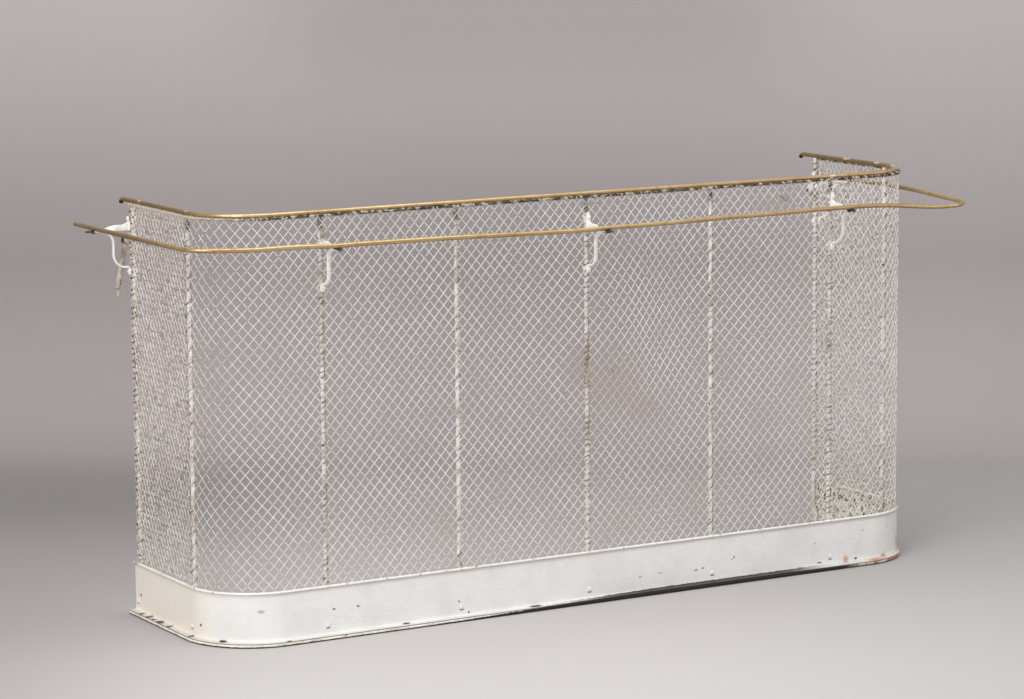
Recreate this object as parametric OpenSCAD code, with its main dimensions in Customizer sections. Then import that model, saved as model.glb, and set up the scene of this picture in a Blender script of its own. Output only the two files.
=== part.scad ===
// Wire nursery fender: a U-shaped guard of rods and diamond mesh on a sheet plinth,
// with a round top rail, an airing rail on five brackets and two loose wall hooks.
// Millimetres, +Z up. Shapes are drawn with y = 0 at the plinth's front face, and
// placed() then puts the origin on the floor in the middle of the whole footprint.

/* [Plinth] */
// Length of the plinth along the front, outside to outside
plinth_len = 1270; // [1150:10:1500]
// Depth of the plinth from its front face to its rear edges
plinth_dep = 309; // [290:1:400]
// Outside radius of the plinth's two front corners
corner_r = 104; // [90:1:115]
// Height of the plinth up to the centre of its top bead
plinth_h = 80; // [65:1:95]
// Thickness of the plinth's sheet iron
sheet_t = 1; // [0.8:0.1:1.5]
// Radius of the bead rolled along the plinth's top edge
bead_r = 2; // [1.6:0.1:3]
// How far the bead's centre stands outside the sheet's face
bead_out = 1; // [0.7:0.1:1.4]
// Width of the lip turned out at the sheet's foot
lip_w = 10; // [8:0.5:14]
// Radius of the bend between the sheet and its lip
lip_r = 4; // [3:0.5:6]
// Height of the iron base bar under the lip
base_h = 6; // [4:0.5:9]
// Reach of the base bar outside the sheet's face
base_out = 12; // [10:0.5:16]
// Reach of the base bar inside the sheet's face
base_in = 10; // [6:0.5:14]

/* [Rods] */
// Diameter of the upright rods
rod_d = 7; // [6:0.5:9]
// Spacing of the five front rods
rod_pitch = 228; // [200:1:235]
// How far the row of front rods stands off centre
rod_shift = -5; // [-15:1:15]
// Distance of each rear rod's axis from the plinth's rear edge
rear_inset = 8; // [6:1:14]
// Width of the flattened foot of a rod
foot_w = 13; // [12:1:18]
// Height of the flattened foot of a rod
foot_h = 34; // [26:1:44]
// Height of the rivet through a rod's foot
foot_rivet_z = 21; // [18:1:28]

/* [Rails] */
// Height of the top rail's centre
rail_z = 639; // [560:1:700]
// Diameter of the top rail
rail_d = 7; // [6:0.5:9]
// How far the top rail runs past the plinth's rear edge before it turns down
rail_over = 26; // [15:1:32]
// Bend radius of the top rail's turned-down ends
rail_bend = 9; // [7:0.5:14]
// Angle through which the top rail's ends turn down
rail_turn = 70; // [30:5:90]
// Depth of the slit along the top rail's underside
slit_depth = 2; // [1.5:0.5:2.5]
// Diameter of the selvedge wire along the mesh's top edge
selvedge_d = 3; // [2.5:0.1:3]
// Drop from the top rail's centre to the selvedge wire's centre
selvedge_drop = 8; // [7:0.5:12]
// Drop from the top rail's centre to the airing rail's centre
air_drop = 43; // [38:1:60]
// Diameter of the airing rail
air_d = 7; // [6:0.5:9]
// Distance of the airing rail's centre outside the plinth's face
air_out = 58; // [48:1:68]
// Corner radius of the airing rail at its centre line
air_r = 50; // [35:1:80]
// How far the airing rail runs past the plinth's rear edge
air_over = 62; // [50:1:90]

/* [Mesh] */
// Thickness of the mesh
mesh_t = 1.5; // [1.2:0.1:1.7]
// Width of a mesh strand
strand_w = 2.6; // [2:0.1:3.5]
// Half-columns of diamonds between two front rods
bay_cols = 5; // [5:2:5]
// Half-columns of diamonds round each corner
corner_cols = 3; // [3:2:3]
// Flat facets of mesh round each corner
corner_facets = 7; // [6:1:9]
// Half-columns of diamonds along each return
return_cols = 5; // [5:2:5]
// Half-rows of diamonds up the mesh
mesh_rows = 11; // [11:2:11]
// Depth to which the mesh reaches down behind the bead
mesh_tuck = 15; // [8:1:25]

/* [Brackets] */
// Width of the flat iron in the straps and in the brackets' foot plates
iron_w = 10; // [8:0.5:12]
// Width of the flat iron in the braces
brace_w = 7; // [6:0.5:10]
// Thickness of the flat iron in the brackets
iron_t = 3; // [2.5:0.5:4]
// Reach of a bracket's upper strap beyond the airing rail's centre
tab_over = 13; // [10:1:18]
// Height of the strap's foot plate on its rod
strap_foot_h = 22; // [18:1:26]
// Distance of a brace's upright stretch from its rod's axis
brace_out = 33; // [28:1:38]
// Radius of a brace's upper bend at its centre line
brace_r1 = 17; // [14:1:20]
// Radius of a brace's lower bend at its centre line
brace_r2 = 20; // [16:1:22]
// Upright stretch of a brace between its bends
brace_run = 22; // [12:1:30]
// Height of a brace's foot plate on its rod
brace_foot_h = 14; // [12:1:18]

/* [Wall hooks] */
// Drop from the top rail's centre to the lug's shank through the rear rod
lug_drop = 52; // [50:1:54]
// Drop from the lug's shank to the hook's pin
pin_drop = 9; // [6:1:12]
// Distance of the hook's pin behind its rear rod's axis
pin_back = 18; // [16:1:24]
// Thickness of the lug on the rear rod
lug_t = 4; // [4:0.5:5]
// Diameter of the lug's shank through the rear rod
shank_d = 3; // [2.5:0.1:3.5]
// Radius of the lug's rounded ends
lug_r = 6; // [5:0.5:6.5]
// Diameter of the hook's pin
pin_d = 4; // [3:0.5:5]
// Radius of the hook's eye
eye_r = 8; // [7.5:0.5:10]
// Thickness of the hook's eye
eye_t = 7; // [6:0.5:8]
// Diameter of the hook's shaft
shaft_d = 8; // [6:0.5:8]
// Drop of the shaft from the pin to its collar
shaft_drop = 70; // [50:1:90]
// Distance by which the shaft starts in front of the pin
shaft_front = 3.5; // [3:0.5:5]
// Distance by which the shaft ends behind the pin
shaft_back = 5; // [3:0.5:7]
// Sideways lean of the shaft over its drop
shaft_lean = 11; // [5:1:15]
// Diameter of the collar at the shaft's end
collar_d = 9.5; // [9:0.5:12]
// Height of the collar at the shaft's end
collar_h = 3.5; // [3:0.5:6]
// Diameter of the peg at the hook's end
peg_d = 7; // [6:0.5:8]
// Length of the peg at the hook's end
peg_len = 17; // [14:1:24]

/* [Rivets, screws and ties] */
// Diameter of the rivets
rivet_d = 4; // [3:0.5:4]
// Diameter of a rivet's head
rivet_head_d = 8; // [7:0.5:9]
// Height of a rivet's head
rivet_head_h = 2; // [1.5:0.1:2.5]
// Metal left between a rivet's head and the end of a bracket's foot plate
rivet_edge = 1; // [0.5:0.5:1.5]
// Depth to which a screw enters the airing rail
screw_depth = 4; // [3:0.5:5]
// Diameter of the binding wire
tie_wire = 1.2; // [1:0.1:1.4]

/* [Clearances] */
// Gap between the plinth's sheet and the mesh, and between the mesh and the rods
lay_gap = 0.15; // [0.1:0.05:0.3]
// Radial clearance of a rivet or screw in its hole
hole_gap = 0.05; // [0.02:0.01:0.1]
// Radial clearance of a hook on its pin
pin_gap = 0.08; // [0.05:0.01:0.1]
// Side gap between a hook's eye and what lies beside it
eye_gap = 0.3; // [0.3:0.05:0.5]
// Gap on each side of a tie in the top rail's slit
slit_gap = 0.2; // [0.1:0.05:0.3]
// Gap between binding wire and what it holds
tie_gap = 0.1; // [0.05:0.05:0.2]

/* [Hidden] */
$fn = 64;
white = [0.90, 0.88, 0.84];
cream = [0.86, 0.81, 0.71];
brass = [0.71, 0.56, 0.27];
dark = [0.27, 0.23, 0.21];

rod_r = rod_d / 2;
rail_r = rail_d / 2;
mesh_in = sheet_t + lay_gap;                    // inset of the mesh's outer face
rod_in = mesh_in + mesh_t + lay_gap + rod_r;    // inset of the rods' axes
half_len = plinth_len / 2;
rear_rod_y = plinth_dep - rear_inset;
air_z = rail_z - air_drop;
air_end_y = plinth_dep + air_over;
sheet_foot_z = base_h + sheet_t;
sheet_top_z = plinth_h - sqrt(pow(bead_r, 2) - pow(bead_out, 2));

mid_y = (air_end_y - air_out - tab_over) / 2;

// Every rod as [name, x, y, turn]; turn 0 faces the front, -90 the left, 90 the right.
side_x = half_len - rod_in;
RODS = [
    ["rear_rod_left", -side_x, rear_rod_y, -90],
    ["corner_rod_left", -side_x, corner_r, -90],
    for (i = [0:4]) [str("front_rod_", i + 1), rod_shift + (i - 2) * rod_pitch, rod_in, 0],
    ["corner_rod_right", side_x, corner_r, 90],
    ["rear_rod_right", side_x, rear_rod_y, 90]
];
BRACKETS = ["rear_left", "front_left", "front_middle", "front_right", "rear_right"];
BRACKET_RODS = [0, 2, 4, 6, 8];

// ---- placing ----

module placed() {
    translate([0, -mid_y, 0]) children();
}

// Puts children at rod k, with -Y pointing outwards from the fender.
module at_rod(k) {
    translate([RODS[k][1], RODS[k][2], 0]) rotate([0, 0, RODS[k][3]]) children();
}

// Sweeps a section round the U. The section's x points outwards and its y upwards;
// half and front place the line x = 0, r is its corner radius and rear its end.
module u_run(half, front, r, rear) {
    cy = front + r;
    translate([half - r, front, 0]) rotate([90, 0, -90])
        linear_extrude(2 * (half - r)) children();
    for (side = [-1, 1])
        translate([side * (half - r), cy, 0]) rotate([0, 0, side < 0 ? 180 : 270])
            rotate_extrude(angle = 90, $fn = 96) translate([r, 0]) children();
    translate([-half, cy, 0]) rotate([90, 0, 180]) linear_extrude(rear - cy) children();
    translate([half, rear, 0]) rotate([90, 0, 0]) linear_extrude(rear - cy) children();
}

// ---- plinth ----

// Section of the sheet: upright wall, outward bend and lip.
module sheet_section() {
    bend_z = sheet_foot_z + lip_r;
    translate([-sheet_t, bend_z]) square([sheet_t, sheet_top_z - bend_z]);
    intersection() {
        translate([lip_r, bend_z]) difference() {
            circle(lip_r + sheet_t);
            circle(lip_r);
        }
        translate([-sheet_t, base_h]) square(lip_r + sheet_t);
    }
    translate([lip_r, base_h]) square([lip_w - lip_r, sheet_t]);
}

module plinth_sheet() {
    color(white) difference() {
        u_run(half_len, 0, corner_r, plinth_dep) sheet_section();
        for (k = [0:8]) at_rod(k) rivet_hole(foot_rivet_z);
    }
}

module plinth_bead() {
    color(white) u_run(half_len, 0, corner_r, plinth_dep + bead_r)
        translate([bead_out, plinth_h]) circle(bead_r);
}

module base_bar() {
    nose = base_h / 2;
    color(cream) u_run(half_len, 0, corner_r, plinth_dep) {
        translate([-base_in, 0]) square([base_in + base_out - nose, base_h]);
        translate([base_out - nose, nose]) circle(nose);
    }
}

// ---- rods ----

// A hole through sheet, foot and rod along the outward direction.
module rivet_hole(z) {
    translate([0, 0, z]) rotate([90, 0, 0])
        cylinder(h = 4 * rod_d, r = rivet_d / 2 + hole_gap, center = true);
}

// A round bar with a flattened, riveted foot; bracket rods are drilled twice more
// and rear rods are drilled across for the hook lug's shank. A corner rod's foot
// stands off the sheet by the bow of the curved sheet behind its width.
module rod(k) {
    has_bracket = len([for (b = BRACKET_RODS) if (b == k) b]) > 0;
    is_rear = k == 0 || k == 8;
    is_corner = k == 1 || k == 7;
    inner_r = corner_r - sheet_t;
    bow = inner_r - sqrt(pow(inner_r, 2) - pow(foot_w / 2, 2));
    foot_out = rod_in - sheet_t - (is_corner ? bow : 0);
    color(white) at_rod(k) difference() {
        union() {
            translate([0, 0, base_h]) cylinder(h = rail_z - rail_r - base_h, r = rod_r);
            translate([-foot_w / 2, -foot_out, base_h]) cube([foot_w, foot_out, foot_h]);
        }
        rivet_hole(foot_rivet_z);
        if (has_bracket) {
            rivet_hole(strap_rivet_z);
            rivet_hole(brace_rivet_z);
        }
        if (is_rear)
            translate([0, 0, lug_z]) rotate([0, 90, 0])
                cylinder(h = 4 * rod_d, r = shank_d / 2 + hole_gap, center = true);
    }
}

// ---- rails ----

// The rail's slit faces the selvedge wire.
module rail_section() {
    slit_w = tie_wire + 2 * slit_gap;
    difference() {
        circle(rail_r);
        rotate(slit_turn) translate([-slit_w / 2, -2 * rail_r])
            square([slit_w, rail_r + slit_depth]);
    }
}

module top_rail() {
    rear = plinth_dep + rail_over;
    color(brass) {
        u_run(half_len - rod_in, rod_in, corner_r - rod_in, rear)
            translate([0, rail_z]) rail_section();
        for (side = [-1, 1])
            translate([side * side_x, rear, rail_z - rail_bend]) rotate([0, -90, 0])
                rotate_extrude(angle = rail_turn) translate([rail_bend, 0]) circle(rail_r);
    }
}

// The mesh hangs from this wire; its inner side clears the rods.
selvedge_z = rail_z - selvedge_drop;
selvedge_in = rod_in - rod_r - tie_gap - selvedge_d / 2;
slit_turn = atan2(rod_in - selvedge_in, selvedge_drop);

module selvedge_wire() {
    color(dark) u_run(half_len - selvedge_in, selvedge_in, corner_r - selvedge_in,
                      rear_rod_y + rod_r)
        translate([0, selvedge_z]) circle(selvedge_d / 2);
}

module airing_rail() {
    color(brass) difference() {
        u_run(half_len + air_out, -air_out, air_r, air_end_y)
            translate([0, air_z]) circle(air_d / 2);
        for (k = BRACKET_RODS) at_rod(k)
            translate([0, -air_reach, air_z - air_d])
                cylinder(h = air_d / 2 + screw_depth, r = rivet_d / 2 + hole_gap);
    }
}

// ---- mesh ----

// Diamonds lie on a grid of half-columns and half-rows. Half-column 0 is at the
// middle front rod; the rods at the bays' ends, the corners' ends and the rear edge
// all stand on whole half-columns, so that the pattern runs on from panel to panel.
mesh_top_z = selvedge_z - selvedge_d / 2;
mesh_foot_z = plinth_h - mesh_tuck;
row_h = (mesh_top_z - mesh_foot_z) / mesh_rows;
col_w = rod_pitch / bay_cols;
front_half = half_len - corner_r;
mesh_r = corner_r - mesh_in;
rear_y = rear_rod_y + rod_r + mesh_t;
return_w = (rear_rod_y - corner_r) / return_cols;

function strand_cut(w, h) = 1 - (strand_w / 2) * sqrt(w * w + h * h) / (w * h);
function is_gap(i, j) = (i + j) % 2 == 0;

// Half-columns from the middle rod to a side's seam, and to its first column beyond.
function seam_cols(side) = (front_half - side * rod_shift) / col_w;
function first_col(side) = ceil(seam_cols(side));

// One diamond gap of half-width w and half-height h.
module gap(w, h) {
    s = strand_cut(w, h);
    polygon([[-w * s, 0], [0, -h * s], [w * s, 0], [0, h * s]]);
}

module mesh_front() {
    last = ceil(front_half / col_w) + 1;
    color(white) translate([0, mesh_in + mesh_t, 0]) rotate([90, 0, 0])
        linear_extrude(mesh_t) difference() {
            translate([-front_half, mesh_foot_z])
                square([2 * front_half, mesh_top_z - mesh_foot_z]);
            for (i = [-last:last], j = [0:mesh_rows])
                if (is_gap(i, j))
                    translate([rod_shift + i * col_w, mesh_top_z - j * row_h])
                        gap(col_w, row_h);
        }
}

// A quarter round of flat facets, which lap; the pattern runs on from one to the next.
// The first and the last facet are trimmed to clear the flat panels beside them.
module mesh_corner(side) {
    turn = 90 / corner_facets;
    chord = 2 * mesh_r * sin(turn / 2);
    start = first_col(side) - seam_cols(side);
    step = corner_facets * chord / (start + corner_cols);
    lap = mesh_t / 4;
    trim = mesh_t * tan(turn / 2);
    color(white) translate([side * front_half, corner_r, 0])
        for (facet = [0:corner_facets - 1])
            rotate([0, 0, side * facet * turn]) translate([0, -mesh_r, 0])
                rotate([0, 0, side * turn / 2]) translate([0, mesh_t, 0])
                    rotate([90, 0, 0]) linear_extrude(mesh_t) difference() {
                        near = facet == 0 ? trim : -lap;
                        far = chord + (facet == corner_facets - 1 ? -trim : lap);
                        translate([side < 0 ? -far : near, mesh_foot_z])
                            square([far - near, mesh_top_z - mesh_foot_z]);
                        for (i = [-1:corner_cols + 1], j = [0:mesh_rows])
                            if (is_gap(first_col(side) + i, j))
                                translate([side * ((start + i) * step - facet * chord),
                                           mesh_top_z - j * row_h])
                                    gap(step, row_h);
                    }
}

module mesh_return(side) {
    start = first_col(side) + corner_cols;
    color(white) translate([side * (half_len - mesh_in - (side > 0 ? mesh_t : 0)), 0, 0])
        rotate([90, 0, 90]) linear_extrude(mesh_t) difference() {
            translate([corner_r, mesh_foot_z])
                square([rear_y - corner_r, mesh_top_z - mesh_foot_z]);
            for (i = [-1:return_cols + 1], j = [0:mesh_rows])
                if (is_gap(start + i, j))
                    translate([corner_r + i * return_w, mesh_top_z - j * row_h])
                        gap(return_w, row_h);
        }
}

// ---- brackets ----

plate_out = rod_in - mesh_in + lay_gap;             // a foot plate's inner face
air_reach = air_out + rod_in;                       // rod axis to the airing rail
strap_top_z = air_z - air_d / 2;
strap_z = strap_top_z - iron_t;
strap_rivet_z = strap_top_z + strap_foot_h - rivet_edge - rivet_head_d / 2;
web_h = strap_rivet_z - rivet_head_d / 2 - rivet_edge - strap_z;
brace_foot_z = strap_z - iron_t / 2 - brace_r1 - brace_run - brace_r2;
brace_end_z = brace_foot_z + iron_t / 2 - brace_foot_h;
brace_rivet_z = brace_end_z + rivet_edge + rivet_head_d / 2;

// Upper strap: a foot plate on the rod, a web that twists flat and a tab under the rail.
module strap(k) {
    web_end = air_reach - air_d - tab_over;
    color(white) at_rod(k) difference() {
        union() {
            translate([-iron_w / 2, -plate_out - iron_t, strap_z])
                cube([iron_w, iron_t, strap_foot_h + iron_t]);
            hull() {
                translate([-iron_t / 2, -plate_out - iron_t, strap_z])
                    cube([iron_t, iron_t / 2, web_h]);
                translate([-iron_w / 2, -web_end, strap_z]) cube([iron_w, 1, iron_t]);
            }
            translate([-iron_w / 2, -air_reach - tab_over + iron_w / 2, strap_z])
                cube([iron_w, air_reach + tab_over - iron_w / 2 - plate_out, iron_t]);
            translate([0, -air_reach - tab_over + iron_w / 2, strap_z])
                cylinder(h = iron_t, d = iron_w);
        }
        rivet_hole(strap_rivet_z);
        translate([0, -air_reach, strap_z - iron_t])
            cylinder(h = 3 * iron_t, r = rivet_d / 2 + hole_gap);
    }
}

// Lower brace: from under the strap it bends down, runs upright and bends in to the rod.
module brace(k) {
    top = strap_z - iron_t / 2;
    z1 = top - brace_r1;
    z2 = z1 - brace_run;
    in2 = brace_out - brace_r2;
    color(white) at_rod(k) difference() {
        union() {
            translate([0, -brace_out - brace_r1, z1]) brace_bend(brace_r1, 1);
            translate([-brace_w / 2, -brace_out - iron_t / 2, z2])
                cube([brace_w, iron_t, brace_run]);
            translate([0, -in2, z2]) brace_bend(brace_r2, -1);
            translate([-brace_w / 2, -in2, brace_foot_z - iron_t / 2])
                cube([brace_w, in2 - plate_out, iron_t]);
            translate([-iron_w / 2, -plate_out - iron_t, brace_end_z])
                cube([iron_w, iron_t, brace_foot_h]);
        }
        rivet_hole(brace_rivet_z);
    }
}

// The upper bend (up = 1) goes from level to down; the lower one (up = -1) turns back in.
module brace_bend(r, up) {
    rotate([0, 90, 0]) rotate([0, 0, up > 0 ? 90 : -90]) rotate_extrude(angle = 90)
        translate([r - iron_t / 2, -brace_w / 2]) square([iron_t, brace_w]);
}

// ---- rivets, screws and ties ----

// A rivet along the outward direction from y = -outer to y = inner, domed at both ends.
module rivet(z, outer, inner) {
    translate([0, inner, z]) rotate([90, 0, 0]) cylinder(h = outer + inner, d = rivet_d);
    translate([0, -outer, z]) rotate([90, 0, 0]) rivet_head();
    translate([0, inner, z]) rotate([-90, 0, 0]) rivet_head();
}

module rivet_head() {
    cylinder(h = rivet_head_h / 2, d = rivet_head_d);
    translate([0, 0, rivet_head_h / 2])
        cylinder(h = rivet_head_h / 2, d1 = rivet_head_d, d2 = rivet_head_d / 2);
}

module plinth_rivets() {
    color(white) for (k = [0:8]) at_rod(k) rivet(foot_rivet_z, rod_in, rod_r);
}

module bracket_rivets() {
    color(white) for (k = BRACKET_RODS) at_rod(k) {
        rivet(strap_rivet_z, plate_out + iron_t, rod_r);
        rivet(brace_rivet_z, plate_out + iron_t, rod_r);
    }
}

module rail_screws() {
    color(dark) for (k = BRACKET_RODS) at_rod(k) translate([0, -air_reach, strap_z]) {
        cylinder(h = iron_t + screw_depth - hole_gap, d = rivet_d);
        rotate([180, 0, 0]) rivet_head();
    }
}

// A flat link of wire round two things, with its inside radius r and its length l.
module link(r, l) {
    linear_extrude(tie_wire, center = true) difference() {
        stadium(r + tie_wire, l);
        stadium(r, l);
    }
}

module stadium(r, l) {
    circle(r);
    translate([0, l]) circle(r);
    translate([-r, 0]) square([2 * r, l]);
}

// Half-column on which each rod stands.
function rod_col(k) =
    k == 0 ? first_col(-1) + corner_cols + return_cols :
    k == 1 ? first_col(-1) + corner_cols :
    k == 7 ? first_col(1) + corner_cols :
    k == 8 ? first_col(1) + corner_cols + return_cols : (k - 4) * bay_cols;

// Each tie passes round a rod and round the crossing of two strands in front of it.
module rod_ties() {
    inner = rod_r + tie_gap;
    color(cream) for (k = [0:8], j = [1:mesh_rows - 1])
        if (!is_gap(rod_col(k), j))
            at_rod(k) translate([0, 0, mesh_top_z - j * row_h]) rotate([0, 0, 180])
                link(inner, rod_in - mesh_in - inner + 2 * tie_gap + mesh_t);
}

// Each tie is an eye round the selvedge wire, above a gap in the mesh.
module rail_ties() {
    last = floor(front_half / col_w);
    color(dark) {
        for (i = [-last:last])
            if (is_gap(i, 0) && i % bay_cols != 0)
                translate([rod_shift + i * col_w, rod_in, 0]) rail_tie();
        for (side = [-1, 1], i = [1:return_cols - 1])
            if (is_gap(first_col(side) + corner_cols + i, 0))
                translate([side * side_x, corner_r + i * return_w, 0])
                    rotate([0, 0, side * 90]) rail_tie();
    }
}

// Drawn from the rail's centre towards the selvedge wire; the stem ends in the slit.
module rail_tie() {
    reach = norm([rod_in - selvedge_in, selvedge_drop]);
    eye = selvedge_d / 2 + tie_gap;
    stem_end = rail_r - slit_depth + slit_gap;
    translate([0, 0, rail_z]) rotate([-slit_turn, 0, 0]) rotate([0, 90, 0])
        rotate([0, 0, -90]) linear_extrude(tie_wire, center = true) {
            translate([0, reach]) difference() {
                circle(eye + tie_wire);
                circle(eye);
            }
            translate([-tie_wire / 2, stem_end])
                square([tie_wire, reach - eye - tie_wire / 2 - stem_end]);
        }
}

// ---- wall hooks ----

lug_z = rail_z - lug_drop;
hook_out = lug_t / 2 + eye_gap + eye_t / 2;         // rod axis to the hook's plane

// Draws the left side's children, or mirrors them for the right side.
module on_side(side) {
    if (side < 0) translate([-side_x, rear_rod_y, lug_z]) children();
    else mirror([1, 0, 0]) translate([-side_x, rear_rod_y, lug_z]) children();
}

// A plate behind the rear rod; its shank passes through the rod and is headed in front.
module hook_lug(side) {
    heel = rod_r + lug_r;
    run = [pin_back - heel, -pin_drop];
    color(white) on_side(side) {
        difference() {
            translate([-lug_t / 2, 0, 0]) rotate([90, 0, 90]) linear_extrude(lug_t) {
                translate([rod_r, -lug_r]) square([lug_r, 2 * lug_r]);
                translate([heel, 0]) rotate(atan2(run[1], run[0]) - 90)
                    stadium(lug_r, norm(run));
            }
            translate([0, pin_back, -pin_drop]) rotate([0, 90, 0])
                cylinder(h = 2 * lug_t, r = pin_d / 2 + hole_gap, center = true);
        }
        translate([0, -rod_r, 0]) rotate([-90, 0, 0])
            cylinder(h = 2 * rod_r + lug_r, d = shank_d);
        translate([0, -rod_r, 0]) rotate([90, 0, 0]) rivet_head();
    }
}

module hook_pin(side) {
    inner = lug_t / 2;
    outer = hook_out + eye_t / 2 + eye_gap;
    color(dark) on_side(side) translate([0, pin_back, -pin_drop]) {
        translate([inner, 0, 0]) rotate([0, -90, 0]) cylinder(h = inner + outer, d = pin_d);
        translate([inner, 0, 0]) rotate([0, 90, 0]) rivet_head();
        translate([-outer, 0, 0]) rotate([0, -90, 0]) rivet_head();
    }
}

// A loose hook: an eye on the pin, a leaning shaft, a collar and a peg. The shaft is
// faced off beside the lug and under the pin's head.
module wall_hook(side) {
    top = [0, -shaft_front, 0];
    run = [-shaft_lean, shaft_front + shaft_back, -shaft_drop];
    color(cream) on_side(side) translate([-hook_out, pin_back, -pin_drop]) {
        difference() {
            union() {
                rotate([0, 90, 0]) cylinder(h = eye_t, r = eye_r, center = true);
                translate(top) rotate([0, acos(run[2] / norm(run)), atan2(run[1], run[0])])
                    cylinder(h = norm(run), d = shaft_d);
            }
            rotate([0, 90, 0])
                cylinder(h = 4 * eye_t, r = pin_d / 2 + pin_gap, center = true);
            translate([eye_t / 2, -shaft_d, -shaft_drop / 2])
                cube([shaft_d, 3 * shaft_d, shaft_drop]);
            translate([-eye_t / 2, 0, 0]) rotate([0, -90, 0])
                cylinder(h = shaft_d, r = rivet_head_d / 2 + eye_gap);
        }
        translate(top + run - [0, 0, collar_h]) cylinder(h = collar_h, d = collar_d);
        translate(top + run - [0, 0, peg_len]) cylinder(h = peg_len, d = peg_d);
    }
}

placed() plinth_sheet();
placed() plinth_bead();
placed() base_bar();
for (k = [0:8]) placed() rod(k);
placed() top_rail();
placed() selvedge_wire();
placed() mesh_return(-1);  // mesh_return_left
placed() mesh_corner(-1);  // mesh_corner_left
placed() mesh_front();
placed() mesh_corner(1);  // mesh_corner_right
placed() mesh_return(1);  // mesh_return_right
placed() airing_rail();
for (b = [0:4]) placed() strap(BRACKET_RODS[b]);
for (b = [0:4]) placed() brace(BRACKET_RODS[b]);
placed() rail_screws();
placed() bracket_rivets();
placed() plinth_rivets();
placed() rod_ties();
placed() rail_ties();
placed() hook_lug(-1);  // hook_lug_left
placed() hook_lug(1);  // hook_lug_right
placed() hook_pin(-1);  // hook_pin_left
placed() hook_pin(1);  // hook_pin_right
placed() wall_hook(-1);  // wall_hook_left
placed() wall_hook(1);  // wall_hook_right
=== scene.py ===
"""A nursery fender: a guard of white-painted rods and woven wire on a sheet-iron plinth,
with a round brass top rail, a brass airing rail on five bent-iron brackets, and a loose
hook behind each rear rod. Metres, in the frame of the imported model."""

import math

import bmesh
import bpy
from mathutils import Matrix, Vector, noise


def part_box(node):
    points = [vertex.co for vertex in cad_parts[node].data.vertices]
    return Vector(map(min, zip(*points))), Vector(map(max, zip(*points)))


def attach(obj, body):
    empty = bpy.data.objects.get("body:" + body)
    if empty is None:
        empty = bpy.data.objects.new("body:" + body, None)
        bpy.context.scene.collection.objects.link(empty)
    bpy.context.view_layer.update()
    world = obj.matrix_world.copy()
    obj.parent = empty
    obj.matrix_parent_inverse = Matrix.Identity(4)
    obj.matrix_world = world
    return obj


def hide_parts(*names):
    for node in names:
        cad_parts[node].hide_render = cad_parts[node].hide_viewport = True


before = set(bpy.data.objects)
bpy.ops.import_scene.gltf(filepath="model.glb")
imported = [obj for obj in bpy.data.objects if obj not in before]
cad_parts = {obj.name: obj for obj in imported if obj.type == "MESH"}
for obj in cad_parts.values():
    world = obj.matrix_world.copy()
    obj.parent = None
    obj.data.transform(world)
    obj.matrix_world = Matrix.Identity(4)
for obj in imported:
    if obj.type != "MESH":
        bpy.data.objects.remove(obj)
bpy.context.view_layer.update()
scene = bpy.context.scene
scene.view_settings.view_transform = "Standard"

# ---- Camera ----
# A long lens stands in front of the fender, left of its middle and 1.2 m up. It looks
# down a little, and leans by half a degree.

EYE = Vector((-2.7173, -4.6154, 1.1966))
EYE_TURN = 0.5233       # to the right of +Y
EYE_DIP = 0.1515
EYE_LEAN = -0.0080
LENS_MM = 120.73

camera = bpy.data.objects.new("camera", bpy.data.cameras.new("camera"))
scene.collection.objects.link(camera)
scene.camera = camera
camera.data.lens = LENS_MM
camera.data.clip_end = 60
camera.data.dof.use_dof = False
ahead = Vector((math.sin(EYE_TURN), math.cos(EYE_TURN), 0))
sight = ahead * math.cos(EYE_DIP) - Vector((0, 0, math.sin(EYE_DIP)))
level = Vector((math.cos(EYE_TURN), -math.sin(EYE_TURN), 0))
right = Matrix.Rotation(-EYE_LEAN, 3, sight) @ level
camera.matrix_world = Matrix.Translation(EYE) @ Matrix(
    (right, right.cross(sight), -sight)
).transposed().to_4x4()

# ---- Base bar ----
# A flat iron bar bent to a U, on which the whole fender stands. Its nose shows under the
# plinth's lip: cream on the left, dark with painted shadow along the right of the front,
# and rusty round the right corner. Painted shade also darkens the crevice under the lip
# and the bar's foot.

BAR_H = 0.006
BAR_OUT = 0.012         # its nose, outside the plinth's face
BAR_IN = 0.010
BAR_NOSE = 0.0022       # radius of its worn edges
BAR_GAP = 0.0002        # between its top and the lip
BAR_WORN = 0.0003       # how far its nose is worn back
SHADOW_FROM_TO = (-0.33, 0.02)        # along the front, where painted shadow darkens its nose
RUSTY_FROM_TO = (0.47, 0.52)        # and where it is rusty
NARROW_FROM_TO = (0.54, 0.62)       # round the right corner the foot grows narrower,
NARROW = 0.50                       # down to this share of its width
RUN_STEP = 0.005        # between the rings of everything that runs round the fender

CREAM = (240, 235, 226)
RUST = (142, 92, 52)
BARE_IRON = (62, 48, 38)

corner_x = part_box("mesh_front")[1].x            # the centres of the two front corners
corner_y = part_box("mesh_return_left")[0].y
rear_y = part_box("plinth_sheet")[1].y
corner_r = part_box("base_bar")[1].x - BAR_OUT - corner_x
UP = Vector((0, 0, 1))


def tint(red, green, blue):
    """A colour as it looks, 0 to 255, as the light it gives back."""
    light = [(c / 255 / 12.92) if c < 10.3 else ((c / 255 + 0.055) / 1.055) ** 2.4
             for c in (red, green, blue)]
    return (*light, 1.0)


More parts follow.
